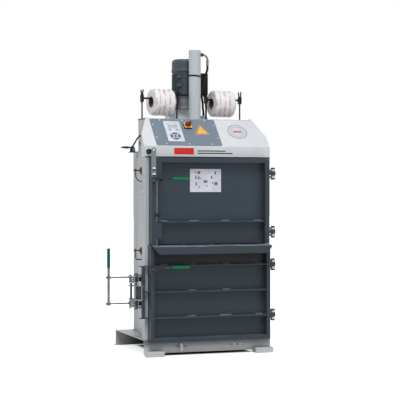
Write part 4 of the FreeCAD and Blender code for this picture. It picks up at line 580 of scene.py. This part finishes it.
def prism(bm, outlines, low, high, rounding=0.0):
    """Plan outlines (x, depth; the later ones are holes) carried up between two heights."""
    edges = []
    base = []
    for outline in outlines:
        ring = [bm.verts.new(at(x, depth, low)) for x, depth in outline]
        edges += [bm.edges.new(pair) for pair in zip(ring, ring[1:] + ring[:1])]
        base += ring
    filled = bmesh.ops.triangle_fill(bm, use_beauty=True, edges=edges)["geom"]
    faces = [item for item in filled if isinstance(item, bmesh.types.BMFace)]
    top = raised(bm, faces, (0, 0, (high - low) * MM))
    if rounding:
        bm.normal_update()
        rims = [e for e in level_edges(base + top) if 0.5 < e.calc_face_angle(0.0) < 2.6]
        bevelled(bm, [], rims, rounding)


def raised(bm, faces, along):
    """Carries faces along a vector and gives their new vertices."""
    carried = bmesh.ops.extrude_face_region(bm, geom=faces)["geom"]
    verts = [item for item in carried if isinstance(item, bmesh.types.BMVert)]
    bmesh.ops.translate(bm, verts=verts, vec=along)
    return verts


def slab(bm, points, along):
    """A flat outline carried along a vector, in metres."""
    raised(bm, [bm.faces.new([bm.verts.new(point) for point in points])], along)


def round_outline(x, depth, radius, steps=32):
    angles = [math.tau * i / steps for i in range(steps)]
    return [(x + radius * math.cos(angle), depth + radius * math.sin(angle)) for angle in angles]


def oblong(x0, x1, depth, radius, steps=16):
    """A plan outline with two half-round ends about x0 and x1."""
    points = []
    for x, start in ((x1, -90), (x0, 90)):
        for i in range(steps + 1):
            angle = math.radians(start + 180 * i / steps)
            points.append((x + radius * math.cos(angle), depth + radius * math.sin(angle)))
    return points


def weld_bead(bm, start, end, width=8.5, height=3.4):
    """A welded seam: overlapping flattened drops."""
    start, end = at(*start), at(*end)
    count = max(2, int((end - start).length / 0.0042))
    turn = (end - start).normalized().to_track_quat("X", "Z").to_matrix().to_4x4()
    for i in range(count + 1):
        made = bmesh.ops.create_uvsphere(bm, u_segments=8, v_segments=5, radius=MM)["verts"]
        wobble = 1.0 + 0.18 * random.uniform(-1, 1)
        size = Matrix.Diagonal((4.4, width / 2 * wobble, height * wobble, 1))
        transform(bm, made, Matrix.Translation(start.lerp(end, i / count)) @ turn @ size)


def new_object(name, bm, material):
    mesh = bpy.data.meshes.new(name)
    bm.to_mesh(mesh)
    bm.free()
    mesh.materials.append(material)
    made = bpy.data.objects.new(name, mesh)
    scene.collection.objects.link(made)
    return made


def piece(name, bm, material, slot, body="frame", replaced=(), angle=38.0):
    """Turns a bmesh into a finished piece that rides on a body."""
    bmesh.ops.recalc_face_normals(bm, faces=bm.faces)
    made = new_object(name, bm, finish[material])
    made.data.polygons.foreach_set("use_smooth", [True] * len(made.data.polygons))
    made.data.set_sharp_from_angle(angle=math.radians(angle))
    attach(made, body)
    if replaced:
        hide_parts(*replaced)
    return made


def made_of(shape, rows, name, material, slot, body="frame", replaced=(), matrix=None):
    """A piece of one kind of shape: a row of measures for each."""
    bm = bmesh.new()
    for row in rows:
        shape(bm, *row, matrix=matrix)
    piece(name, bm, material, slot, body, replaced)


random.seed(7)

# ---- hood: keypad, switch, films
# places on the slope: across, up it, out of it
KEYPAD_X = -204
KEYPAD_TOP = 6
RING_S = 89
KEY_S = 152
SWITCH = (-99, 190)
TRIANGLE = ((-60, 111), (36, 111), (-12, 208))
BADGE = (239, 146, 0.05)


def keypad_details():
    x, top = KEYPAD_X, KEYPAD_TOP
    made_of(block, [((x - 56, 40.1, 3), (x + 56, 235.1, top), 1.2)],
            "keypad_film", "keypad", "keypad_light", "frame", ("keypad",), SLOPE)
    made_of(block, [((x - 33, 171, top - 0.4), (x + 33, 200, top + 0.3), 0.2)],
            "keypad_display", "lcd", "keypad_light", matrix=SLOPE)
    keys = bmesh.new()
    section = ((19, 0), (33.5, 0), (33.5, 1.8), (19, 1.8))
    for quarter in range(4):
        turn = Matrix.Rotation(math.radians(90 * quarter - 36), 3, "Z")
        ring = [keys.verts.new(turn @ Vector((radius, 0, height)) * MM) for radius, height in section]
        face = keys.faces.new(ring)
        bmesh.ops.spin(
            keys, geom=[face, *face.edges, *ring], cent=(0, 0, 0), axis=(0, 0, 1), angle=math.radians(72), steps=10
        )
    transform(keys, keys.verts, SLOPE @ Matrix.Translation(Vector((x, RING_S, top)) * MM))
    rod(keys, (x, RING_S, top), (x, RING_S, top + 1.9), 10, 32, 0.6, SLOPE)
    piece("keypad_keys", keys, "key", "keypad_light")
    small = [
        ((x + side - 9, low, top - 0.1), (x + side + 9, high, top + 1.2), 0.6)
        for side in (-24, 24) for low, high in ((KEY_S - 8, KEY_S - 1), (KEY_S + 1.5, KEY_S + 8))
    ]
    made_of(block, small, "keypad_small_keys", "key_pale", "keypad_light", matrix=SLOPE)
    made_of(block, [((x - 34, 212, top - 0.2), (x - 6, 216, top + 0.25), 0.1)],
            "keypad_red_line", "band_red", "keypad_light", matrix=SLOPE)


def main_switch():
    x, s = SWITCH
    on_plate = ("switch_yellow", "frame", ("switch_plate",), SLOPE)
    made_of(block, [((x - 26, s - 26, 3), (x + 26, s + 26, 13), 2)], "switch_base", "black", *on_plate)
    made_of(block, [((x - 25.5, s - 25.5, 13), (x + 25.5, s + 25.5, 16.8), 1.4)],
            "switch_yellow_plate", "yellow", *on_plate)
    knob = bmesh.new()
    turned(knob, [(5.4, 0), (20.5, 0), (22, 1.5), (22, 7), (19, 9.5), (5.4, 9.5)], (x, s, 17.3), steps=48, matrix=SLOPE)
    turn = SLOPE @ Matrix.Translation((x * MM, s * MM, 0)) @ Matrix.Rotation(math.radians(35), 4, "Z")
    block(knob, (-27, -7.2, 26.3), (27, 7.2, 38.5), 3.5, 4, turn)
    piece("switch_red_knob", knob, "red", "knob_red", "main_switch", ("switch_knob",))
    made_of(rod, [((x, s, 16.8), (x, s, 26), 5, 24, 0.5)], "switch_spindle", "zinc", *on_plate)


def hood_films():
    amber = bmesh.new()
    corners = [Vector(corner) for corner in TRIANGLE]
    middle = sum(corners, Vector((0, 0))) / 3
    inner = [middle.lerp(corner, 0.76) for corner in corners]
    slab(amber, [SLOPE @ (Vector((*corner, 3.1)) * MM) for corner in inner], SLOPE.to_3x3() @ Vector((0, 0, 0.0005)))
    for corner, following in zip(corners, corners[1:] + corners[:1]):
        run = following - corner
        turn = Matrix.Rotation(math.atan2(run.y, run.x), 4, "Z")
        count = int(run.length / 7.4)
        for dash in range(count):
            centre = corner.lerp(following, (dash + 0.5) / count)
            place = SLOPE @ Matrix.Translation((centre.x * MM, centre.y * MM, 0)) @ turn
            block(amber, (-2.6, -1.9, 3.1), (2.6, 1.9, 3.6), matrix=place)
    piece("amber_triangle", amber, "amber", "panel_blue")

    badge = bmesh.new()
    turned(badge, [(0, 0), (0, 0.6), (69.5, 0.6), (70, 0)], BADGE, steps=72, matrix=SLOPE, closed=False)
    piece("badge_disc", badge, "film_pale", "hood_grey")
    rings = [([(r0, 0.5), (r0, 1), (r1, 1), (r1, 0.5)], BADGE, (0, 0, 1), 72) for r0, r1 in ((68.6, 70), (39.5, 48))]
    made_of(turned, rings, "badge_rings", "ring_light", "hood_grey", matrix=SLOPE)
    marks = bmesh.new()
    for i in range(22):
        angle = math.tau * i / 22
        middle = Vector((math.cos(angle), math.sin(angle), 0)) * 62.2
        place = SLOPE @ Matrix.Translation((Vector(BADGE) + middle) * MM) @ Matrix.Rotation(angle, 4, "Z")
        block(marks, (-3.6, -4.2, 0.5), (3.6, 4.2, 1), matrix=place)
    piece("badge_marks", marks, "ring_grey", "hood_grey")
    made_of(block, [((209, 138, 0.5), (269, 155, 1.1))], "badge_red_bar", "print_red", "hood_grey", matrix=SLOPE)

    front = -0.7
    made_of(block, [((-232, front, 1296), (-98, 0, 1338), 0.3, 1)], "band_red_bar", "band_red", "hood_grey")
    lines = [((-72, front, low), (end, 0, low + 7), 0.3, 1) for low, end in ((1301, 168), (1316, 120))]
    made_of(block, lines, "band_dark_lines", "band_dark", "hood_grey")
    made_of(rod, [((-429.5, 2.2, 1284.4), (429.5, 2.2, 1284.4), 2.4, 16, 0.4)], "band_hem", "hood", "hood_grey")
    made_of(block, [((-428, -1.6, 1275.4), (428, -0.2, 1281.6), 0.4, 1)], "hood_shadow_gap", "deep", "black_plastic")


keypad_details()
main_switch()
hood_films()


# ---- notice and weld seams on the doors
NOTICE = (-24, -16, 1127.5)


def notice():
    sheet = bmesh.new()
    bmesh.ops.create_grid(sheet, x_segments=24, y_segments=16, size=0.5)
    wide, tall, thick = 0.212, 0.149, 0.0003
    for vert in sheet.verts:
        x, y = vert.co.x * 2, vert.co.y * 2
        curl = 0.0012 * (abs(x) ** 6) * (abs(y) ** 6)
        vert.co = (vert.co.x * wide, -thick - curl, vert.co.y * tall)
    bmesh.ops.translate(sheet, verts=sheet.verts, vec=at(*NOTICE))
    bmesh.ops.solidify(sheet, geom=sheet.faces, thickness=thick)
    piece("notice_sheet", sheet, "paper", "keypad_light", "upper_door")
    marks = {      # place and size of each field of colour
        "print_blue": [(-66, 18, 8, 22), (-47, 16, 10, 18), (-34, 14, 7, 6), (-64, -22, 9, 24), (10, -34, 6, 14)],
        "print_brown": [(-46, 52, 20, 18), (0, -6, 26, 16), (72, -20, 22, 20), (-44, -42, 9, 8)],
        "print_red": [(x, z, 6, 3) for x, z in ((-82, 59), (-26, 59), (38, 59), (-82, 30), (-82, -8), (38, -8))],
        "band_dark": [(66, 50, 8, 20), (42, 20, 8, 18), (50, -16, 9, 6), (-68, 52, 7, 8)],
    }
    middle_x, face, middle_z = NOTICE
    for key, fields in marks.items():
        rows = [
            ((middle_x + x - width / 2, face - 0.75, middle_z + z - height / 2),
             (middle_x + x + width / 2, face - 0.55, middle_z + z + height / 2))
            for x, z, width, height in fields
        ]
        made_of(block, rows, "notice_" + key, key, "keypad_light", "upper_door")


def door_welds():
    """Short runs of weld above the ribs, and the seams across the frames."""
    doors = {      # (rib height, its runs), then the seams: middles, half length, depth, height, rise
        "upper": (((861, ((-336, -284), (-132, -75), (90, 136), (312, 360))),),
                  ((-384, 388), 12, -65.9, 1268, 1.2)),
        "lower": (((581, ((-330, -286), (-134, -92), (96, 142), (322, 366))), (414, ((-136, -94), (96, 143))),
                   (248, ((-136, -92), (76, 150), (326, 366)))),
                  ((-380, -190, 0, 190, 380), 14, -67, 713, 1.4)),
    }
    for door, (ribs, (middles, half, depth, height, rise)) in doors.items():
        beads = bmesh.new()
        for z, runs in ribs:
            for x0, x1 in runs:
                weld_bead(beads, (x0, -18.5, z + 6.5), (x1, -18.5, z + 6.5))
        for x in middles:
            weld_bead(beads, (x - half, depth, height), (x + half, depth, height), 4, rise)
        piece(door + "_door_welds", beads, "weld", "door_slate", door + "_door", angle=60)


notice()
door_welds()


# ---- strap: rolls, ends, guides
def strap_roll(name, centre, yaw):
    """A wound roll: rounded shoulders and a ridge for each turn."""
    half, inner, ridge, shoulder, turns = 73.8, 39, 1, 12, 12
    valley = ROLL_RADIUS - ridge
    angles = [math.pi / 2 * step / 8 for step in range(1, 9)]
    curve = [(valley - shoulder * (1 - math.sin(angle)), half - shoulder * (1 - math.cos(angle))) for angle in angles]
    lane = (2 * half - 2 * shoulder) / turns
    profile = [(inner, -half), (ROLL_RADIUS - shoulder, -half)] + [(radius, -x) for radius, x in curve[:-1]]
    for turn in range(turns):
        start = -half + shoulder + turn * lane
        profile += [(ROLL_RADIUS if share else valley, start + share * lane) for share in (0, 0.12, 0.5, 0.88)]
    profile += curve[::-1] + [(ROLL_RADIUS - shoulder, half), (inner, half)]
    roll = bmesh.new()
    turned(roll, profile, centre, (math.cos(yaw), math.sin(yaw), 0), 112)
    body = name + "_roll"
    piece(body + "_wound", roll, name + "_strap", "strap_white", body, (name + "_strap_roll",), 50)


def strap_end():
    """The loose flat end of the left strap: a ribbon swept along its own line."""
    points = [(10, 53.1), (4, 53.1), (1.6, 53.6), (0.9, 58), (-0.6, 70), (-1.7, 77), (-4, 80.3),
              (-11, 80.3), (-13.8, 78), (-15, 64), (-17.5, 46), (-19.4, 28.4)]
    line = bpy.data.curves.new("strap_line", "CURVE")
    line.dimensions = "3D"
    spline = line.splines.new("NURBS")
    spline.points.add(len(points) - 1)
    for point, (depth, z) in zip(spline.points, points):
        point.co = (*at(-186, depth, z), 1)
    spline.order_u = 3
    spline.use_endpoint_u = True
    spline.resolution_u = 6
    holder = bpy.data.objects.new("strap_line", line)
    scene.collection.objects.link(holder)
    bpy.context.view_layer.update()
    middle = bpy.data.meshes.new_from_object(holder.evaluated_get(bpy.context.evaluated_depsgraph_get()))
    route = [tuple(vert.co) for vert in middle.vertices]
    bpy.data.objects.remove(holder)
    bm = bmesh.new()
    edge = [(bm.verts.new((x - 0.007, y, z)), bm.verts.new((x + 0.007, y, z))) for x, y, z in route]
    for first, second in zip(edge, edge[1:]):
        bm.faces.new((first[0], first[1], second[1], second[0]))
    bmesh.ops.recalc_face_normals(bm, faces=bm.faces)
    bmesh.ops.solidify(bm, geom=bm.faces, thickness=0.0011)
    return piece("left_strap_end", bm, "tail_strap", "strap_white", "frame", ("left_strap_tail",)), route


def right_strap_and_guides():
    """The right strap's end, just showing in its slot, and the guides behind both slots."""
    made_of(block, [((176, 5.4, 54.2), (196, 9.6, 61.6), 1.6, 3)], "right_strap_end", "lcd", "strap_white")
    guides = [((x, 14, 46), (x + 29, 16, 70), 0.6) for x in (-224, -177, 148, 195)]
    made_of(block, guides, "strap_guides", "apron", "body_grey")


for side, (middle, yaw) in ROLLS.items():
    strap_roll(side, middle, yaw)
right_strap_and_guides()


# ---- top of the machine
def cylinder_and_motor():
    """The tie round the cylinder, the ring on the hose's end and a black ring, painted shadow in the gap under the
    motor's cowl.
    """
    tie = bmesh.new()
    turned(tie, [(40.1, -5.2), (42, -5.2), (43.2, 0), (42, 5.2), (40.1, 5.2)], (0, 280, 1829), (0.09, 0, 1))
    block(tie, (38, 268, 1821), (47, 276, 1833), 1.5)
    piece("cylinder_tie", tie, "black", "hose_black")
    ring = [(6.6, -3), (9.2, -2), (9.2, 2), (6.6, 3)]
    made_of(turned, [(ring, (90, 280, 1937), (0, 0, 1), 40)], "hose_orange_ring", "orange", "hose_black")
    gap = [(84.5, -1.5), (88.4, -1.5), (88.4, 2.2), (84.5, 2.2)]
    made_of(turned, [(gap, (-23, 430, 1866))], "cowl_gap", "deep", "black_plastic")


def stands_and_uprights():
    """Black sleeves on the stands' forked tips, dark brown strips round the uprights' tops."""
    sleeves = [
        ((x, ROLL_DEPTH + side * 11.4, 1695), (x, ROLL_DEPTH + side * 25.6, 1734), 4.7, 16, 0.8)
        for x in (-347, -103, 103, 347) for side in (-1, 1)
    ]
    made_of(rod, sleeves, "prong_sleeves", "black", "stand_brown")
    across = ((-370.5, -369.7, 190.6, 369.4), (-370.3, -354, 189.5, 190.3),
              (369.7, 370.5, 190.6, 369.4), (354, 370.3, 189.5, 190.3))
    seams = [((x0, front, 1531), (x1, back, 1539), 0.2, 1) for x0, x1, front, back in across]
    made_of(block, seams, "upright_top_dark_strips", "primer", "body_grey")


cylinder_and_motor()
stands_and_uprights()


# ---- hinges
def hinges():
    """Cast eyes with turned collars, brown washers, dark nuts and the ends of the bolts."""
    eyes, washers, nuts = [bmesh.new() for _ in range(3)]
    arm = [(430, -40), (445.4, -52), (450, -40), (450, 24), (444, 28.6), (430, 34)]
    collar = [(7.9, 0), (13.6, 0), (14.9, 1.4), (14.9, 12.6), (13.6, 14), (7.9, 14)]
    washer = [(8.1, 0), (13.2, 0), (13.9, 1), (13.9, 4), (13.2, 5), (8.1, 5)]
    x, depth, nut_flats = 435, -40, 24
    for z in (250, 580, 794, 1176):
        for low in (z - 31.3, z + 12.3):
            prism(eyes, [arm], low + 1.2, low + 12.8, 1.4)
            turned(eyes, collar, (x, depth, low), steps=48)
        turned(washers, washer, (x, depth, z - 17.3), steps=40)
        rod(nuts, (x, depth, z - 42.3), (x, depth, z + 37.3), 7.9, 24, 0.8)
        for low in (z - 41.3, z + 26.3):
            rod(nuts, (x, depth, low), (x, depth, low + 10), nut_flats / math.sqrt(3), 6, 1.4)
    replaced = ("hinge_hardware",)
    piece("hinge_eyes", eyes, "pale_zinc", "zinc_plate", "frame", replaced)
    piece("hinge_washers", washers, "bronze", "zinc_plate", "frame", replaced)
    piece("hinge_bolts_and_nuts", nuts, "nut", "black_plastic", "frame", replaced)


hinges()


# ---- toggle latch
def latch_frame():
    """The latch's handle: grip bar, two links, and hubs of plates and collars round the main pin. Pale plates and
    washers are painted highlight; thin black bands and pin ends are painted shade, beside black nuts.
    """
    steel, bright, dark = [bmesh.new() for _ in range(3)]
    crank, main, bar, depth = -506, -472, -654, 50
    washer = [(5.8, 0), (5.8, 2.4), (10.5, 2.4), (11.2, 1.6), (11.2, 0)]
    block(steel, (bar - 8, depth - 4, 328), (bar + 8, depth + 4, 690), 2.2, 3)
    rod(steel, (crank, depth, 360.5), (crank, depth, 470.5), 4.9)
    for z, link_z, head in ((493, 508, 516), (338, 341, 307)):
        bore = round_outline(main, depth, 6.4)
        prism(steel, [oblong(crank, main, depth, 12.5), bore], z - 19, z + 19)
        # pale plates above and below each link: painted highlight
        for low in (z - 23, z + 18):
            prism(bright, [oblong(crank, main, depth, 15), bore], low, low + 5, 1.2)
        # thin black bands round each link: painted shade
        for low in (z - 7, z + 6):
            prism(dark, [oblong(crank, main, depth, 12.9), oblong(crank, main, depth, 12)], low, low + 1.6)
        # a pale washer at the front of each hub: painted highlight
        turned(bright, washer, (-496, depth - 12.3, z), (0, -1, 0), 40)
        # black pin ends in front of the hub: painted shade
        for x, front, length, radius in ((-496, 12.3, 2.1, 5.6), (-480, 12, 2.2, 5.2)):
            rod(dark, (x, depth - front, z), (x, depth - front - length, z), radius, 24, 0.6)
        for bm, x0, x1, radius, sides, rim in (
                (steel, bar - 17, crank - 11, 4.9, 24, 0.8), (steel, bar - 14, bar - 8, 8.4, 32, 0.8),
                (steel, bar + 8, bar + 14, 8.4, 32, 0.8), (dark, bar - 16.8, bar - 14.2, 6.8, 6, 0.5),
                (dark, crank - 18, crank - 12, 6.6, 6, 0.5)):
            rod(bm, (x0, depth, link_z), (x1, depth, link_z), radius, sides, rim)
        rod(dark, (crank - 4, depth, head), (crank - 4, depth, head + 8), 8.8, 6, 0.8)
    handle = ("latch_handle", ("latch_handle",))
    piece("latch_frame_steel", steel, "latch_steel", "zinc_plate", *handle)
    piece("latch_frame_painted_highlight", bright, "pale_zinc", "zinc_plate", *handle)
    piece("latch_frame_dark_and_painted_shade", dark, "nut", "black_plastic", *handle)


def latch_backing():
    """Dark web between the hook's two plates, and the bracket's two bearing blocks."""
    web = bmesh.new()
    prism(web, [[(-489.2, -3), (-484.4, -4.8), (-468.2, -50), (-473, -51.8)]], 373, 452, 0.8)
    piece("hook_web", web, "lever", "zinc_plate", "latch_hook")
    blocks = bmesh.new()
    for low in (323, 479):
        block(blocks, (-456, 38, low), (-433, 60, low + 29), 3, 3)
        rod(blocks, (-445, 38.5, low + 14.5), (-445, 33, low + 14.5), 7.5, 6, 0.8)
    piece("latch_bearing_blocks", blocks, "lever", "zinc_plate")


latch_frame()
latch_backing()


# ---- door switch, tongue, levers and left wall
def lobed(bm, x, z, radius, sections, lobes=5, dent=0.12, steps=60):
    """A hand knob: rounded lobes round a short bar that points to the front."""
    rings = []
    for depth, share in sections:
        rings.append([])
        for i in range(steps):
            angle = math.tau * i / steps
            reach = radius * share * (1 - dent * (0.5 - 0.5 * math.cos(lobes * angle)))
            rings[-1].append(bm.verts.new(at(x + reach * math.cos(angle), depth, z + reach * math.sin(angle))))
    for first, second in zip(rings, rings[1:]):
        for i in range(steps):
            bm.faces.new((first[i - 1], first[i], second[i], second[i - 1]))
    bm.faces.new(rings[0])
    bm.faces.new(rings[-1])


def door_switch():
    knob = bmesh.new()
    x, z = -403, 1313
    rod(knob, (x, 0, z), (x, -8, z), 16.8, 48, 1)
    lobed(knob, x, z, 14, ((-8, 0.9), (-12.32, 1), (-38.6, 1), (-44, 0.86)))
    rod(knob, (x, -44, z), (x, -50, z), 9.8, 32, 1.4)
    piece("door_switch_knob", knob, "black", "black_plastic", "frame", ("interlock_switch",))


def tongue_bolts():
    """Bolt heads on the tongue, bright above and dark below: painted highlight and painted shade on each head."""
    caps, shade = bmesh.new(), bmesh.new()
    for z in (1160, 1197):
        for bm, start in ((caps, 0), (shade, 180)):
            angles = [math.radians(start + 9 * i) for i in range(21)]
            fan = [at(-389 + 10.4 * math.cos(angle), -80.2, z + 3 + 11 * math.sin(angle)) for angle in angles]
            slab(bm, fan, (0, 0.008, 0))
    rod(caps, (-389, -73.6, 1321), (-389, -71.8, 1321), 5.6, 24, 0.4)
    piece("tongue_bolt_shade", shade, "nut", "black_plastic", "upper_door")
    piece("tongue_bolt_caps", caps, "screw", "zinc_plate", "upper_door")


def lever_webs():
    """A small upright web on each door lever, where its plate runs into the bar; the upper one is near-black, as
    painted shade.
    """
    webs = (("upper_lever", "deep", ((-366, 1142), (-366, 1126), (-358, 1126), (-334, 1134), (-334, 1142))),
            ("lower_lever", "motor", ((-352, 577), (-352, 566), (-340, 566), (-292, 570), (-292, 576))))
    for lever, material, outline in webs:
        web = bmesh.new()
        slab(web, [at(x, -115, z) for x, z in outline], (0, 0.005, 0))
        piece(lever + "_web", web, material, "door_slate", lever)


def left_wall():
    """A clip beside the ejector's cable, and a plain film of coloured bars on the left column."""
    clip = [((-374, 268, 1369), (-369.5, 338, 1383), 1.5), ((-379, 284, 1371), (-373, 322, 1381), 2, 3)]
    made_of(block, clip, "cable_clip", "zinc", "zinc_plate")
    made_of(block, [((-430.3, 40, 998), (-429.9, 63, 1098))], "side_strip_film", "film_pale", "panel_blue")
    bars = (("film_blue", 1066, 1092, 15), ("band_dark", 1034, 1046, 12), ("film_blue", 1020, 1028, 10),
            ("band_red", 1004, 1015, 14))
    for number, (key, low, high, width) in enumerate(bars, 1):
        bar = [((-430.6, 51.5 - width / 2, low), (-430.2, 51.5 + width / 2, high))]
        made_of(block, bar, f"side_strip_bar_{number}", key, "panel_blue")


lever_webs()
door_switch()
tongue_bolts()
left_wall()

strap, strap_path = strap_end()

# ---- floor, light, camera
# painted shadow under the machine: inside this field the floor is near-black and does not glow
PAINTED_SHADOW_FIELD = {"X": 0.34, "Y": 0.33}     # half sizes of the dark field under the machine
g = Surface("pale_floor", gloss=0.1)
place = g.split(g.coords())
beside = g.math("MAXIMUM", *(g.math("SUBTRACT", g.math("ABSOLUTE", place[axis]), half)
                             for axis, half in PAINTED_SHADOW_FIELD.items()))
outside = g.remap(beside, -0.05, -0.005)
tone = g.mix(outside, (0.02, 0.02, 0.02, 1), (0.86, 0.86, 0.86, 1))
g.set(g.shader, Base_Color=tone, Roughness=0.9)
near_light = g.remap(beside, -0.05, -0.005, 0.0, 0.7)
far_light = g.remap(beside, 0.03, 0.8, 0.0, 0.4)
strength = g.times(g.seen(), g.math("ADD", near_light, far_light))
glow = g.set(g.add("Emission"), Color=(1, 1, 1, 1), Strength=strength)[0]
both = g.feed(g.add("AddShader"), g.shader.outputs[0], glow)[0]
g.set(g.tree.nodes["Material Output"], Surface=both)
plane = bmesh.new()
bmesh.ops.create_grid(plane, x_segments=2, y_segments=2, size=40.0)
floor = new_object("studio_floor", plane, g.material)

world = bpy.data.worlds.new("studio")
scene.world = world
world.use_nodes = True
g = Graph(world.node_tree)
g.set(world.node_tree.nodes["Background"], Color=(1, 1, 1, 1), Strength=g.math("MULTIPLY_ADD", g.seen(), 0.68, 0.32))

for name, place, power in (("key", (-1.5, -3.5, 6), 260), ("fill", (4, -4.4, 2.6), 34), ("side", (-5, 0.5, 3), 12)):
    lamp = bpy.data.lights.new(name, "AREA")
    lamp.shape = "SQUARE"
    lamp.size = 3.0
    lamp.energy = power
    holder = bpy.data.objects.new(name, lamp)
    holder.location = place
    holder.rotation_euler = (Vector((0, 0, 1.0)) - Vector(place)).to_track_quat("-Z", "Y").to_euler()
    scene.collection.objects.link(holder)

camera = bpy.data.cameras.new("camera")
camera.lens = 114.3
camera.sensor_width = 36.0
camera.shift_y = -0.025
camera.clip_end = 200.0
viewer = bpy.data.objects.new("camera", camera)
viewer.location = (-2.668, -8.134, 1.066)
viewer.rotation_euler = (math.radians(90), 0, -math.atan2(0.317, 0.948))
scene.collection.objects.link(viewer)
scene.camera = viewer
scene.view_settings.view_transform = "Standard"
